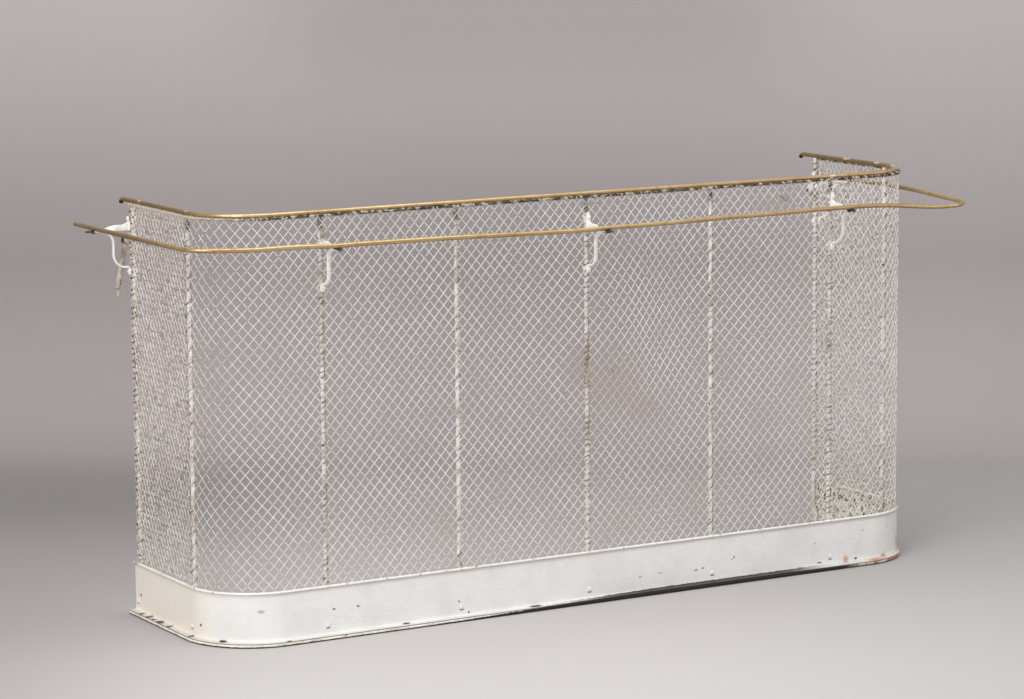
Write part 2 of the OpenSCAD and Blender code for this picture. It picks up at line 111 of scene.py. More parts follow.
def u_run(radius, rear, across=corner_x, back=corner_y):
    """Length of a U about two corner centres, and what gives the place and the way
    out of the fender at a distance from its left rear end."""
    leg = rear - back
    bend = radius * math.pi / 2
    half = leg + bend + across

    def place(run):
        side = 1 if run > half else -1
        d = 2 * half - run if run > half else run
        if d < leg:
            return Vector((side * (across + radius), rear - d, 0)), Vector((side, 0, 0))
        if d < leg + bend:
            turn = (d - leg) / radius
            out = Vector((side * math.cos(turn), -math.sin(turn), 0))
            return Vector((side * across, back, 0)) + radius * out, out
        return Vector((side * (half - d), back - radius, 0)), Vector((0, -1, 0))

    return 2 * half, place


def waver(point, per_metre, seed=0.0):
    """Smooth noise between about -1 and 1 at a point."""
    return noise.noise(Vector(point) * per_metre + Vector((seed, seed * 0.7, seed * 1.3)))


def turns(count):
    """The angles of an even ring."""
    return [2 * math.pi * i / count for i in range(count)]


def share_of(value, start, end):
    """How far a value has come from start to end, from 0 to 1."""
    return min(1, max(0, (value - start) / (end - start)))


def new_piece(name, mesh):
    piece = bpy.data.objects.new(name, mesh)
    scene.collection.objects.link(piece)
    return piece


def skin(name, points, faces, crease=40):
    """A new piece with its faces turned outwards, smooth but for its creases."""
    mesh = bpy.data.meshes.new(name)
    mesh.from_pydata([tuple(p) for p in points], [], faces)
    shell = bmesh.new()
    shell.from_mesh(mesh)
    bmesh.ops.recalc_face_normals(shell, faces=shell.faces)
    shell.to_mesh(mesh)
    shell.free()
    mesh.shade_smooth()
    mesh.set_sharp_from_angle(angle=math.radians(crease))
    return new_piece(name, mesh)


def faces_between(one, other, count):
    """The faces between two rings of a skin, given by their numbers."""
    return [(one * count + j, one * count + (j + 1) % count,
             other * count + (j + 1) % count, other * count + j) for j in range(count)]


def loft(name, rings, crease=40):
    """A closed skin through rings of points, with both ends capped."""
    count = len(rings[0])
    points = [p for ring in rings for p in ring]
    faces = [tuple(range(count)), tuple(range(len(points) - count, len(points)))]
    for i in range(len(rings) - 1):
        faces += faces_between(i, i + 1, count)
    return skin(name, points, faces, crease)


def steps_along(length, place):
    """Even steps along a U, each a place and the way out of the fender there."""
    count = round(length / RUN_STEP)
    return [place(length * i / count) for i in range(count + 1)]


def run_rings(length, place, section):
    """Rings along a U; section gives (outward, up) pairs at a place."""
    return [[spot + out * o + UP * z for o, z in section(spot)]
            for spot, out in steps_along(length, place)]


def add(tree, kind, settings=None, **inputs):
    """Adds a node. Names of inputs have _ for a space, or are i and a number; a socket
    given as a value is linked, and anything else is set."""
    node = tree.nodes.new(kind)
    for key, value in (settings or {}).items():
        setattr(node, key, value)
    for key, value in inputs.items():
        number = key[0] == "i" and key[1:].isdigit()
        socket = node.inputs[int(key[1:]) if number else key.replace("_", " ")]
        if isinstance(value, bpy.types.NodeSocket):
            tree.links.new(value, socket)
        else:
            socket.default_value = value
    return node


def calc(tree, operation, a, b=0.0, c=0.0):
    return add(tree, "ShaderNodeMath", {"operation": operation}, i0=a, i1=b, i2=c).outputs[0]


def product(tree, value, *others):
    for other in others:
        value = calc(tree, "MULTIPLY", value, other)
    return value


def band(tree, value, start, end, low=0.0, high=1.0):
    """Goes smoothly from low to high as value goes from start to end."""
    return add(tree, "ShaderNodeMapRange", {"interpolation_type": "SMOOTHSTEP"}, Value=value,
               From_Min=start, From_Max=end, To_Min=low, To_Max=high).outputs["Result"]


def grain(tree, vector, scale, detail=2.0, roughness=0.5):
    return add(tree, "ShaderNodeTexNoise", Vector=vector, Scale=scale, Detail=detail,
               Roughness=roughness).outputs[0]


def about_zero(tree, noise_value, size):
    """A noise moved to lie about zero, and made as large as size."""
    return product(tree, calc(tree, "SUBTRACT", noise_value, 0.5), size)


def laid_over(tree, look, *layers):
    """A colour under others, each given as how much of it shows and the colour."""
    for share, colour in layers:
        look = add(tree, "ShaderNodeMix", {"data_type": "RGBA"}, i0=share, i6=look,
                   i7=colour).outputs[2]
    return look


def new_group(name, kind, inputs, outputs):
    """A node group with (name, socket kind, value) inputs and (name, kind) outputs."""
    tree = bpy.data.node_groups.new(name, kind)
    for label, sort, value in inputs:
        socket = tree.interface.new_socket(label, in_out="INPUT", socket_type=sort)
        if value is not None:
            socket.default_value = value
    for label, sort in outputs:
        tree.interface.new_socket(label, in_out="OUTPUT", socket_type=sort)
    return tree, tree.nodes.new("NodeGroupInput").outputs, tree.nodes.new("NodeGroupOutput")


def old_paint_group():
    """Old brushed paint: stained in patches, mottled, lumpy, and chipped through rust
    down to bare iron where a noise passes the chip level."""
    colour, number = "NodeSocketColor", "NodeSocketFloat"
    tree, given, out = new_group("old paint", "ShaderNodeTree", [
        ("Paint", colour, tint(230, 226, 220)), ("Stain", colour, tint(196, 184, 166)),
        ("Rust", colour, tint(*RUST)), ("Bare", colour, tint(*BARE_IRON)),
        ("Stain Scale", number, 12.0), ("Stain Amount", number, 0.4),
        ("Chip Scale", number, 150.0), ("Chip Level", number, 0.7),
        ("Lump Scale", number, 300.0)],
        [("Color", colour), ("Roughness", number), ("Height", number)])
    here = add(tree, "ShaderNodeTexCoord").outputs["Object"]
    patches = grain(tree, here, given["Stain Scale"], 5.0, 0.6)
    fine = grain(tree, here, product(tree, given["Stain Scale"], 11.0), 3.0)
    stained = product(tree, band(tree, patches, 0.38, 0.72), given["Stain Amount"])
    mottled = product(tree, band(tree, fine, 0.45, 0.8), given["Stain Amount"], 0.6)
    chips = grain(tree, here, given["Chip Scale"], 3.0, 0.6)
    level = given["Chip Level"]
    core = band(tree, chips, level, calc(tree, "ADD", level, 0.02))
    halo = band(tree, chips, calc(tree, "SUBTRACT", level, 0.08), calc(tree, "ADD", level, 0.01))
    look = laid_over(tree, given["Paint"], (stained, given["Stain"]), (mottled, given["Stain"]),
                     (product(tree, halo, 0.65), given["Rust"]), (core, given["Bare"]))
    tree.links.new(look, out.inputs["Color"])
    rough = band(tree, fine, 0.3, 0.8, 0.36, 0.52)
    rough = calc(tree, "ADD", product(tree, core, 0.3), rough)
    tree.links.new(rough, out.inputs["Roughness"])
    lumps = grain(tree, here, given["Lump Scale"], 2.0)
    tree.links.new(calc(tree, "SUBTRACT", lumps, product(tree, core, 0.8)), out.inputs["Height"])
    return tree


OLD_PAINT = old_paint_group()


def new_material(name):
    """A new material, with its tree and its shader."""
    material = bpy.data.materials.new(name)
    material.use_nodes = True
    return material, material.node_tree, material.node_tree.nodes["Principled BSDF"]


def painted(name, bump=0.0004, **values):
    """A material of old paint; returns it with its tree, its paint's colour and its shader."""
    material, tree, shader = new_material(name)
    paint = add(tree, "ShaderNodeGroup", {"node_tree": OLD_PAINT}, **values).outputs
    tree.links.new(paint["Color"], shader.inputs["Base Color"])
    tree.links.new(paint["Roughness"], shader.inputs["Roughness"])
    dent = add(tree, "ShaderNodeBump", Height=paint["Height"], Distance=bump)
    tree.links.new(dent.outputs["Normal"], shader.inputs["Normal"])
    shader.inputs["Specular IOR Level"].default_value = 0.4
    return material, tree, paint["Color"], shader


def fit(piece, material, slot, *nodes, body="root"):
    """Gives a piece its finish and its body, in the stead of its CAD nodes."""
    if material:
        piece.data.materials.clear()
        piece.data.materials.append(material)
    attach(piece, body)
    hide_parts(*nodes)
    return piece


def rounded_box(o0, o1, z0, z1, radius, steps=3):
    """Outline of a rectangle with round corners, as (outward, up) pairs."""
    points = []
    for cx, cz, start in ((o1 - radius, z1 - radius, 0), (o0 + radius, z1 - radius, 90),
                          (o0 + radius, z0 + radius, 180), (o1 - radius, z0 + radius, 270)):
        for i in range(steps + 1):
            turn = math.radians(start + 90 * i / steps)
            points.append((cx + radius * math.cos(turn), cz + radius * math.sin(turn)))
    return points


def foot_share(spot):
    """How much of its width the foot of the fender has at a place."""
    return 1 - (1 - NARROW) * share_of(spot.x, *NARROW_FROM_TO)


def bar_section(spot):
    nose = (BAR_OUT + BAR_WORN * (waver(spot, 60) - 1)) * foot_share(spot)
    return rounded_box(-BAR_IN, nose, 0, BAR_H - BAR_GAP, BAR_NOSE)


def place_parts(tree):
    """The x and z of the place that a material paints, and the whole place."""
    here = add(tree, "ShaderNodeTexCoord").outputs["Object"]
    parts = add(tree, "ShaderNodeSeparateXYZ", Vector=here).outputs
    return parts["X"], parts["Z"], here


base_bar = loft("base_bar_iron", run_rings(*u_run(corner_r, rear_y), bar_section))
bar_paint, tree, paint, shader = painted(
    "cream paint on the base bar", Paint=tint(*CREAM), Stain=tint(186, 172, 148),
    Stain_Scale=30.0, Stain_Amount=0.6, Chip_Scale=150.0, Chip_Level=0.68, bump=0.0006)
x, z, here = place_parts(tree)
# Painted shadow along the right of the front: the nose is darkened from its foot up to a ragged
# edge, less so where it is rusty.
shadow_top = band(tree, x, *SHADOW_FROM_TO, 0.0022, BAR_H + 0.001)
ragged = about_zero(tree, grain(tree, here, 160.0, 3.0), 0.003)
bare = calc(tree, "SUBTRACT", calc(tree, "ADD", z, ragged), shadow_top)
bare = product(tree, band(tree, bare, 0.0005, -0.0005), band(tree, x, *RUSTY_FROM_TO, 1.0, 0.2))
# Painted shade in the crevice under the lip, and painted shadow along the bar's foot.
crevice_shade = band(tree, z, BAR_H - 0.0014, BAR_H - 0.0004, 0.0, 0.8)
under = band(tree, z, 0.0025, 0.0016, 0.0, 0.95)
dark = calc(tree, "MAXIMUM", calc(tree, "MAXIMUM", bare, under), crevice_shade)
rusty = band(tree, grain(tree, here, 45.0, 4.0, 0.7), 0.42, 0.56)
rusty = product(tree, band(tree, x, *RUSTY_FROM_TO), rusty, 0.9)
look = laid_over(tree, paint, (rusty, tint(168, 104, 46)), (dark, tint(28, 24, 21)))
tree.links.new(look, shader.inputs["Base Color"])
fit(base_bar, bar_paint, "cream_paint", "base_bar")

# ---- Plinth ----
# One strip of sheet iron bent round two corners, its foot turned out as a lip over the
# bar, white with a few chips. A wire is rolled into its top edge, and shows as a bead.

SHEET_T = 0.001
LIP_W = 0.010
LIP_R = 0.004           # of the bend between lip and wall
LIP_WAVER = 0.0004      # how much its width wavers
LIP_NOSE = 0.0003       # how far the middle of its edge stands out
SHEET_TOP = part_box("plinth_sheet")[1].z
RIPPLE = 0.0005
BEND_STEPS = 4
WALL_STEPS = 9
BEAD_R = 0.0020
BEAD_OUT = 0.0010
BEAD_WORN = 0.00004     # taken off its radius all round
SHEET_WHITE = (233, 232, 230)
YELLOW_FROM_TO = (-0.618, -0.635)   # the left return's paint is yellowed
LIP_SHADOW_FROM_TO = (-0.12, 0.05)   # along the front, where painted shadow darkens the lip's edge
LIP_SHADOW_ENDS = (0.36, 0.46)       # and where that painted shadow ends

# Chips, as x, y, z, half-width and half-height on the face of the plinth.
front_y = corner_y - corner_r
CHIPS = [
    (-0.4507, front_y, 0.0442, 0.0022, 0.0013), (-0.4105, front_y, 0.0438, 0.0020, 0.0012),
    (-0.632, -0.0707, 0.0265, 0.0020, 0.0020), (-0.6430, 0.1215, 0.0075, 0.0050, 0.0016),
    (-0.635, 0.1393, 0.0318, 0.0024, 0.0022), (-0.6430, 0.0765, 0.0075, 0.0040, 0.0014),
    (-0.6430, 0.0215, 0.0080, 0.0060, 0.0018), (-0.6440, 0.0555, 0.0072, 0.0090, 0.0010),
    (-0.6430, 0.0965, 0.0080, 0.0070, 0.0018), (-0.6410, -0.0535, 0.0075, 0.0050, 0.0014),
    (-0.6150, -0.1105, 0.0075, 0.0060, 0.0014), (-0.5300, -0.1600, 0.0072, 0.0040, 0.0010),
    (-0.2376, front_y, 0.0298, 0.0012, 0.0016), (-0.2209, front_y, 0.0110, 0.0016, 0.0014),
    (0.2642, front_y, 0.0414, 0.0010, 0.0020), (0.2605, front_y, 0.0380, 0.0008, 0.0012),
    (0.1921, front_y, 0.0286, 0.0034, 0.0008), (0.2053, front_y, 0.0303, 0.0022, 0.0009),
    (0.0874, front_y, 0.0296, 0.0030, 0.0006), (0.1246, front_y, 0.0317, 0.0040, 0.0005),
    (0.4300, front_y, 0.0130, 0.0040, 0.0010), (0.5020, front_y, 0.0120, 0.0026, 0.0016),
    (0.5150, front_y, 0.0570, 0.0010, 0.0010), (0.4200, front_y, 0.0460, 0.0012, 0.0008),
    (-0.3300, front_y, 0.0075, 0.0060, 0.0010), (-0.1050, front_y, 0.0072, 0.0100, 0.0008),
    (0.0300, front_y, 0.0074, 0.0050, 0.0009), (0.3150, front_y, 0.0078, 0.0040, 0.0008),
]
# Rust that has run into the paint, in the same way.
RUST_RUNS = [
    (0.392, front_y, 0.008, 0.008, 0.003), (0.482, front_y, 0.012, 0.006, 0.008),
    (0.560, -0.1455, 0.010, 0.008, 0.005), (0.616, -0.0935, 0.007, 0.030, 0.003),
    (0.570, -0.1435, 0.057, 0.002, 0.002), (0.540, -0.157, 0.007, 0.020, 0.002),
    (0.10, front_y, 0.0065, 0.020, 0.0012), (0.22, front_y, 0.0065, 0.016, 0.0014),
]
# Grey smudges, in the same way.
SMUDGES = [(-0.5680, -0.1435, 0.0527, 0.0066, 0.0034), (0.600, -0.115, 0.026, 0.012, 0.016)]


def spot_group():
    """How far a point lies from a spot: 0 in its middle and 1 at its rim."""
    vector = "NodeSocketVector"
    tree, given, out = new_group("spot", "ShaderNodeTree", [
        ("Centre", vector, None), ("Size", vector, None)], [("Distance", "NodeSocketFloat")])
    here = add(tree, "ShaderNodeTexCoord").outputs["Object"]
    away = add(tree, "ShaderNodeVectorMath", {"operation": "SUBTRACT"},
               i0=here, i1=given["Centre"]).outputs[0]
    share = add(tree, "ShaderNodeVectorMath", {"operation": "DIVIDE"},
                i0=away, i1=given["Size"]).outputs[0]
    length = add(tree, "ShaderNodeVectorMath", {"operation": "LENGTH"}, i0=share)
    tree.links.new(length.outputs["Value"], out.inputs["Distance"])
    return tree


SPOT = spot_group()


def nearest_spot(tree, spots, ragged=0.5):
    """Distance to the nearest of several ragged spots, each x, y, z, half-width and
    half-height."""
    nearest = None
    for x, y, z, wide, high in spots:
        found = add(tree, "ShaderNodeGroup", {"node_tree": SPOT}, Centre=(x, y, z),
                    Size=(wide, wide, high)).outputs[0]
        nearest = calc(tree, "MINIMUM", nearest, found) if nearest else found
    here = add(tree, "ShaderNodeTexCoord").outputs["Object"]
    rough = about_zero(tree, grain(tree, here, 700.0, 2.0), 2.0 * ragged)
    return calc(tree, "ADD", nearest, rough)


def spots_mask(tree, spots, ragged, rim, core, most=1.0):
    """How much of some ragged spots shows: nothing at the rim, and most at the core."""
    return band(tree, nearest_spot(tree, spots, ragged), rim, core, 0.0, most)


def sheet_section(spot):
    """Up the outside of the wall from the lip, and down its inside."""
    foot = BAR_H + SHEET_T
    bend = foot + LIP_R
    lip = LIP_W * foot_share(spot) + LIP_WAVER * waver(spot, 25, 3)
    bends = [math.radians(270 - 90 * i / BEND_STEPS) for i in range(BEND_STEPS + 1)]
    wall = [bend + (SHEET_TOP - bend) * i / WALL_STEPS for i in range(1, WALL_STEPS + 1)]

    def ripple(z):
        share = math.sin(math.pi * (z - bend) / (SHEET_TOP - bend))
        return RIPPLE * share * (0.5 + waver(spot + UP * z, 9, 5))

    outside = [(LIP_R + LIP_R * math.cos(a), bend + LIP_R * math.sin(a)) for a in bends]
    outside += [(ripple(z), z) for z in wall]
    inside = [(ripple(z) - SHEET_T, z) for z in reversed(wall)]
    wide = LIP_R + SHEET_T
    inside += [(LIP_R + wide * math.cos(a), bend + wide * math.sin(a)) for a in reversed(bends)]
    return [(lip, BAR_H), (lip + LIP_NOSE, foot - SHEET_T / 2), (lip, foot)] + outside + inside


ROD_R = 0.0035
ROD_NAMES = (["rear_rod_left", "corner_rod_left"] + [f"front_rod_{i}" for i in range(1, 6)]
             + ["corner_rod_right", "rear_rod_right"])


def rod_place(node):
    """Where a rod's axis meets the floor, and the way out of the fender there."""
    lo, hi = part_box(node)
    middle = (lo + hi) / 2
    if "front" in node:
        return Vector((middle.x, hi.y - ROD_R, 0)), Vector((0, -1, 0))
    if "left" in node:
        return Vector((hi.x - ROD_R, middle.y, 0)), Vector((-1, 0, 0))
    return Vector((lo.x + ROD_R, middle.y, 0)), Vector((1, 0, 0))


RODS = [rod_place(node) for node in ROD_NAMES]


def by_rods(rods, outward, z, wide, high):
    """A spot by each rod, at a distance outward of its axis."""
    return [(spot.x + out.x * outward, spot.y + out.y * outward, z, wide, high)
            for spot, out in rods]


def facing(tree):
    """The x, y and z of the way that a surface faces."""
    normal = add(tree, "ShaderNodeNewGeometry").outputs["Normal"]
    return add(tree, "ShaderNodeSeparateXYZ", Vector=normal).outputs


# The lower rims of the plinth's painted rivets are chipped too.
RIVET_RIMS = by_rods(RODS, 0.006, 0.0166, 0.0034, 0.0009)
plinth_sheet = loft("plinth_sheet_iron", run_rings(*u_run(corner_r, rear_y), sheet_section))
sheet_paint, tree, paint, shader = painted(
    "white paint on the plinth", Paint=tint(*SHEET_WHITE), Stain=tint(214, 210, 206),
    Stain_Scale=16.0, Stain_Amount=0.45, Chip_Scale=260.0, Chip_Level=0.86, bump=0.0003,
    Lump_Scale=120.0)
x, z, here = place_parts(tree)
chip = nearest_spot(tree, CHIPS + RIVET_RIMS)
strokes = add(tree, "ShaderNodeMapping", Vector=here, Scale=(45.0, 45.0, 520.0)).outputs[0]
strokes = band(tree, grain(tree, strokes, 1.0, 3.0, 0.6), 0.45, 0.8, 0.0, 0.4)
yellowed = product(tree, band(tree, x, *YELLOW_FROM_TO),
                   band(tree, grain(tree, here, 30.0, 4.0), 0.3, 0.7, 0.45, 0.85))
# Painted shadow along the lip's edge across the right of the front, up to a ragged line.
lip_shadow_top = band(tree, x, -0.05, 0.15, BAR_H + 0.0012, BAR_H + 0.0032)
ragged = about_zero(tree, grain(tree, here, 160.0, 3.0), 0.002)
lip_shadow = calc(tree, "SUBTRACT", calc(tree, "ADD", z, ragged), lip_shadow_top)
lip_shadow = product(tree, band(tree, lip_shadow, 0.0004, -0.0003),
                   band(tree, x, *LIP_SHADOW_FROM_TO, 0.15, 0.95),
                   band(tree, x, *LIP_SHADOW_ENDS, 1.0, 0.2))
inside = band(tree, product(tree, facing(tree)["X"], x), -0.05, -0.25)
specks = band(tree, grain(tree, here, 190.0, 4.0, 0.7), 0.54, 0.57)
look = laid_over(
    tree, paint, (strokes, tint(214, 212, 209)), (yellowed, tint(235, 226, 211)),
    (product(tree, inside, 0.6), tint(226, 218, 198)),
    (product(tree, inside, specks), tint(46, 38, 30)),
    # Painted shadow on the wall just under the bead.
    (band(tree, z, 0.0710, 0.0768, 0.0, 0.4), tint(176, 168, 160)),
    (spots_mask(tree, SMUDGES, 0.3, 1.1, 0.4, 0.75), tint(160, 160, 158)),
    (spots_mask(tree, RUST_RUNS, 0.9, 1.3, 0.2, 0.8), tint(190, 136, 72)),
    (lip_shadow, tint(44, 36, 29)), (band(tree, chip, 1.6, 0.9, 0.0, 0.6), tint(160, 126, 96)),
    (band(tree, chip, 1.05, 0.85), tint(*BARE_IRON)))
tree.links.new(look, shader.inputs["Base Color"])
fit(plinth_sheet, sheet_paint, "white_paint", "plinth_sheet")


def bead_section(spot):
    thick = BEAD_R * (1 + 0.05 * waver(spot, 90, 7)) - BEAD_WORN
    return [(BEAD_OUT + thick * math.cos(t), bead_z + thick * math.sin(t)) for t in turns(12)]


bead_lo, bead_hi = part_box("plinth_bead")
bead_z = (bead_lo.z + bead_hi.z) / 2
bead = loft("plinth_bead_wire", run_rings(*u_run(corner_r, bead_hi.y), bead_section))
bead_paint, tree, paint, shader = painted(
    "white paint on the bead", Paint=tint(238, 236, 233), Stain=tint(222, 214, 202),
    Stain_Scale=16.0, Stain_Amount=0.5, Chip_Scale=140.0, Chip_Level=0.69, bump=0.0004)
BEAD_RUST = [(0.62, -0.0935, 0.080, 0.040, 0.006), (-0.632, 0.1515, 0.080, 0.012, 0.006),
             (0.635, 0.1265, 0.080, 0.050, 0.010)]
BEAD_NIBS = by_rods(RODS, 0.007, 0.0795, 0.0022, 0.004)
look = laid_over(tree, paint,
                 (spots_mask(tree, BEAD_RUST, 0.9, 1.2, 0.4, 0.8), tint(168, 132, 92)),
                 (spots_mask(tree, BEAD_NIBS, 0.8, 1.2, 0.6, 0.8), tint(142, 112, 82)))
tree.links.new(look, shader.inputs["Base Color"])
fit(bead, bead_paint, "white_paint", "plinth_bead")

# ---- Rods ----
# Nine round iron bars from the base to the top rail, thick with old white paint. Each foot
# is beaten flat and riveted inside the plinth, with the woven wire between them.

FOOT_HALF = 0.0065      # half of its width
FOOT_THICK = 0.0034
FOOT_OUT = 0.0051       # from the rod's axis to the outer face of its foot
FLAT_FROM_TO = (0.040, 0.026)       # heights between which the rod turns flat
ROD_SIDES = 14
ROD_STEP = 0.004
ROD_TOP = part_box("front_rod_3")[1].z
ROD_THIN = 0.0031       # their radius where they aren't lumpy


def eased(share):
    return share * share * (3 - 2 * share)


def rod_rings(spot, out, seed):
    along = out.cross(UP)
    rings = []
    count = round((ROD_TOP - BAR_H) / ROD_STEP)
    for i in range(count + 1):
        z = BAR_H + (ROD_TOP - BAR_H) * i / count
        flat = eased(share_of(z, *FLAT_FROM_TO))
        lump = 1 + 0.07 * waver((seed, 0, z), 140) + 0.04 * waver((seed, 0, z), 420)
        wide = (ROD_THIN + (FOOT_HALF - ROD_THIN) * flat) * lump
        deep = ROD_THIN + (FOOT_THICK / 2 - ROD_THIN) * flat
        middle = spot + out * (FOOT_OUT - FOOT_THICK / 2) * flat
        middle += along * 0.0005 * waver((seed, 9, z), 8)
        square = 1 - 0.55 * flat
        ring = []
        for turn in turns(ROD_SIDES):
            c, s = (math.copysign(abs(v) ** square, v) for v in (math.cos(turn), math.sin(turn)))
            ring.append(middle + along * wide * c + out * deep * lump * s + UP * z)
        rings.append(ring)
    return rings


def wire_paint(name, **values):
    """White paint on iron wire or rod: creamier, lumpier and more chipped than the sheet."""
    given = dict(Paint=tint(240, 237, 232), Stain=tint(158, 146, 130), Stain_Scale=30.0,
                 Stain_Amount=0.85, Chip_Scale=170.0, Chip_Level=0.66, bump=0.0006)
    return painted(name, **{**given, **values})


rod_paint, tree, paint, shader = wire_paint("white paint on the rods")
ROD_RUST = (by_rods(RODS[4:5], 0, 0.375, 0.02, 0.050) + by_rods(RODS[4:5], 0, 0.27, 0.02, 0.02)
            + by_rods(RODS[2:3], 0, 0.50, 0.02, 0.04))
ROD_TOPS = by_rods(RODS[1:7], 0, ROD_TOP - 0.014, 0.02, 0.011)
look = laid_over(tree, paint,
                 (spots_mask(tree, ROD_RUST, 1.2, 1.3, 0.3, 0.6), tint(158, 122, 88)),
                 (spots_mask(tree, ROD_TOPS, 1.4, 1.2, 0.6, 0.85), tint(62, 52, 40)))
tree.links.new(look, shader.inputs["Base Color"])
for number, (node, (spot, out)) in enumerate(zip(ROD_NAMES, RODS)):
    rod = loft(node + "_bar", rod_rings(spot, out, number * 1.7))
    fit(rod, rod_paint, "white_paint", node)

# ---- Woven wire ----
# Plain-woven iron wire, painted after weaving, its diamonds about 18 mm high and 16 mm wide,
# but drawn in to 14 mm round the corners and 12 mm along the returns. It hangs from the
# selvedge wire and ends inside the plinth, between sheet and rods.

HALF_ROWS = 62          # up the height
WIRE_R = 0.00047
CRIMP = 0.00040
MESH_MID = 0.0019       # from the plinth's face to the middle of the weave
WANDER = 0.0014
EDGE_LIFT = 0.0032      # how far past its packed panel it reaches, to the selvedge wire
PINCH = (0.115, -0.150, 0.430)      # where the front's weave is drawn together
PINCH_REACH = 0.13
PINCH_SHARE = 0.26
mesh_radius = corner_r - MESH_MID
mesh_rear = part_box("mesh_return_left")[1].y
# Each panel's name, node, half cells and length round the fender.
PANELS = [("mesh_return_left", "mesh_return_left", 36, mesh_rear - corner_y),
          ("mesh_corner_left", "mesh_corner_left", 20, mesh_radius * math.pi / 2),
          ("mesh_front_left_half", "mesh_front", 66, corner_x),
          ("mesh_front_right_half", "mesh_front", 66, corner_x),
          ("mesh_corner_right", "mesh_corner_right", 20, mesh_radius * math.pi / 2),
          ("mesh_return_right", "mesh_return_right", 36, mesh_rear - corner_y)]


def line_of(name, spots):
    """A line of edges through points, each with the way out of the fender as "out"."""
    mesh = bpy.data.meshes.new(name)
    mesh.from_pydata([tuple(p) for p, _ in spots],
                     [(i, i + 1) for i in range(len(spots) - 1)], [])
    ways = mesh.attributes.new("out", "FLOAT_VECTOR", "POINT")
    ways.data.foreach_set("vector", [c for _, out in spots for c in out])
    return new_piece(name, mesh)


def run_line(name, length, place, height=0.0):
    return line_of(name, [(spot + UP * height, out) for spot, out in steps_along(length, place)])


def grown(name, line, tree, **inputs):
    """Runs a Geometry Nodes tree on a line, and keeps the result as a plain mesh."""
    modifier = line.modifiers.new("grow", "NODES")
    modifier.node_group = tree
    sockets = {s.name: s.identifier for s in tree.interface.items_tree
               if s.in_out == "INPUT"}
    for key, value in inputs.items():
        modifier[sockets[key.replace("_", " ")]] = value
    graph = bpy.context.evaluated_depsgraph_get()
    mesh = bpy.data.meshes.new_from_object(line.evaluated_get(graph))
    line.modifiers.remove(modifier)
    bpy.data.objects.remove(line)
    mesh.name = name
    return new_piece(name, mesh)


def vector_calc(tree, operation, a, b):
    """Vector arithmetic; b is a number where the operation is SCALE."""
    second = {"Scale": b} if operation == "SCALE" else {"i1": b}
    return add(tree, "ShaderNodeVectorMath", {"operation": operation}, i0=a, **second).outputs[0]


def named_way(tree):
    return add(tree, "GeometryNodeInputNamedAttribute", {"data_type": "FLOAT_VECTOR"},
               Name="out").outputs["Attribute"]


def finished(tree, geometry, material, out):
    """Ends a tree: its shapes are made smooth and real, and get their finish."""
    smooth = add(tree, "GeometryNodeSetShadeSmooth", Geometry=geometry)
    real = add(tree, "GeometryNodeRealizeInstances", Geometry=smooth.outputs[0])
    done = add(tree, "GeometryNodeSetMaterial", Geometry=real.outputs[0], Material=material)
    tree.links.new(done.outputs[0], out.inputs[0])
    return tree


def wire_skin(tree, curves, radius, sides):
    """Lines with a round section of a radius."""
    ring = add(tree, "GeometryNodeCurvePrimitiveCircle", Resolution=sides, Radius=1.0)
    thick = add(tree, "GeometryNodeSetCurveRadius", Curve=curves, Radius=1.0)
    return add(tree, "GeometryNodeCurveToMesh", Curve=thick.outputs[0],
               Profile_Curve=ring.outputs[0], Scale=radius, Fill_Caps=True).outputs[0]


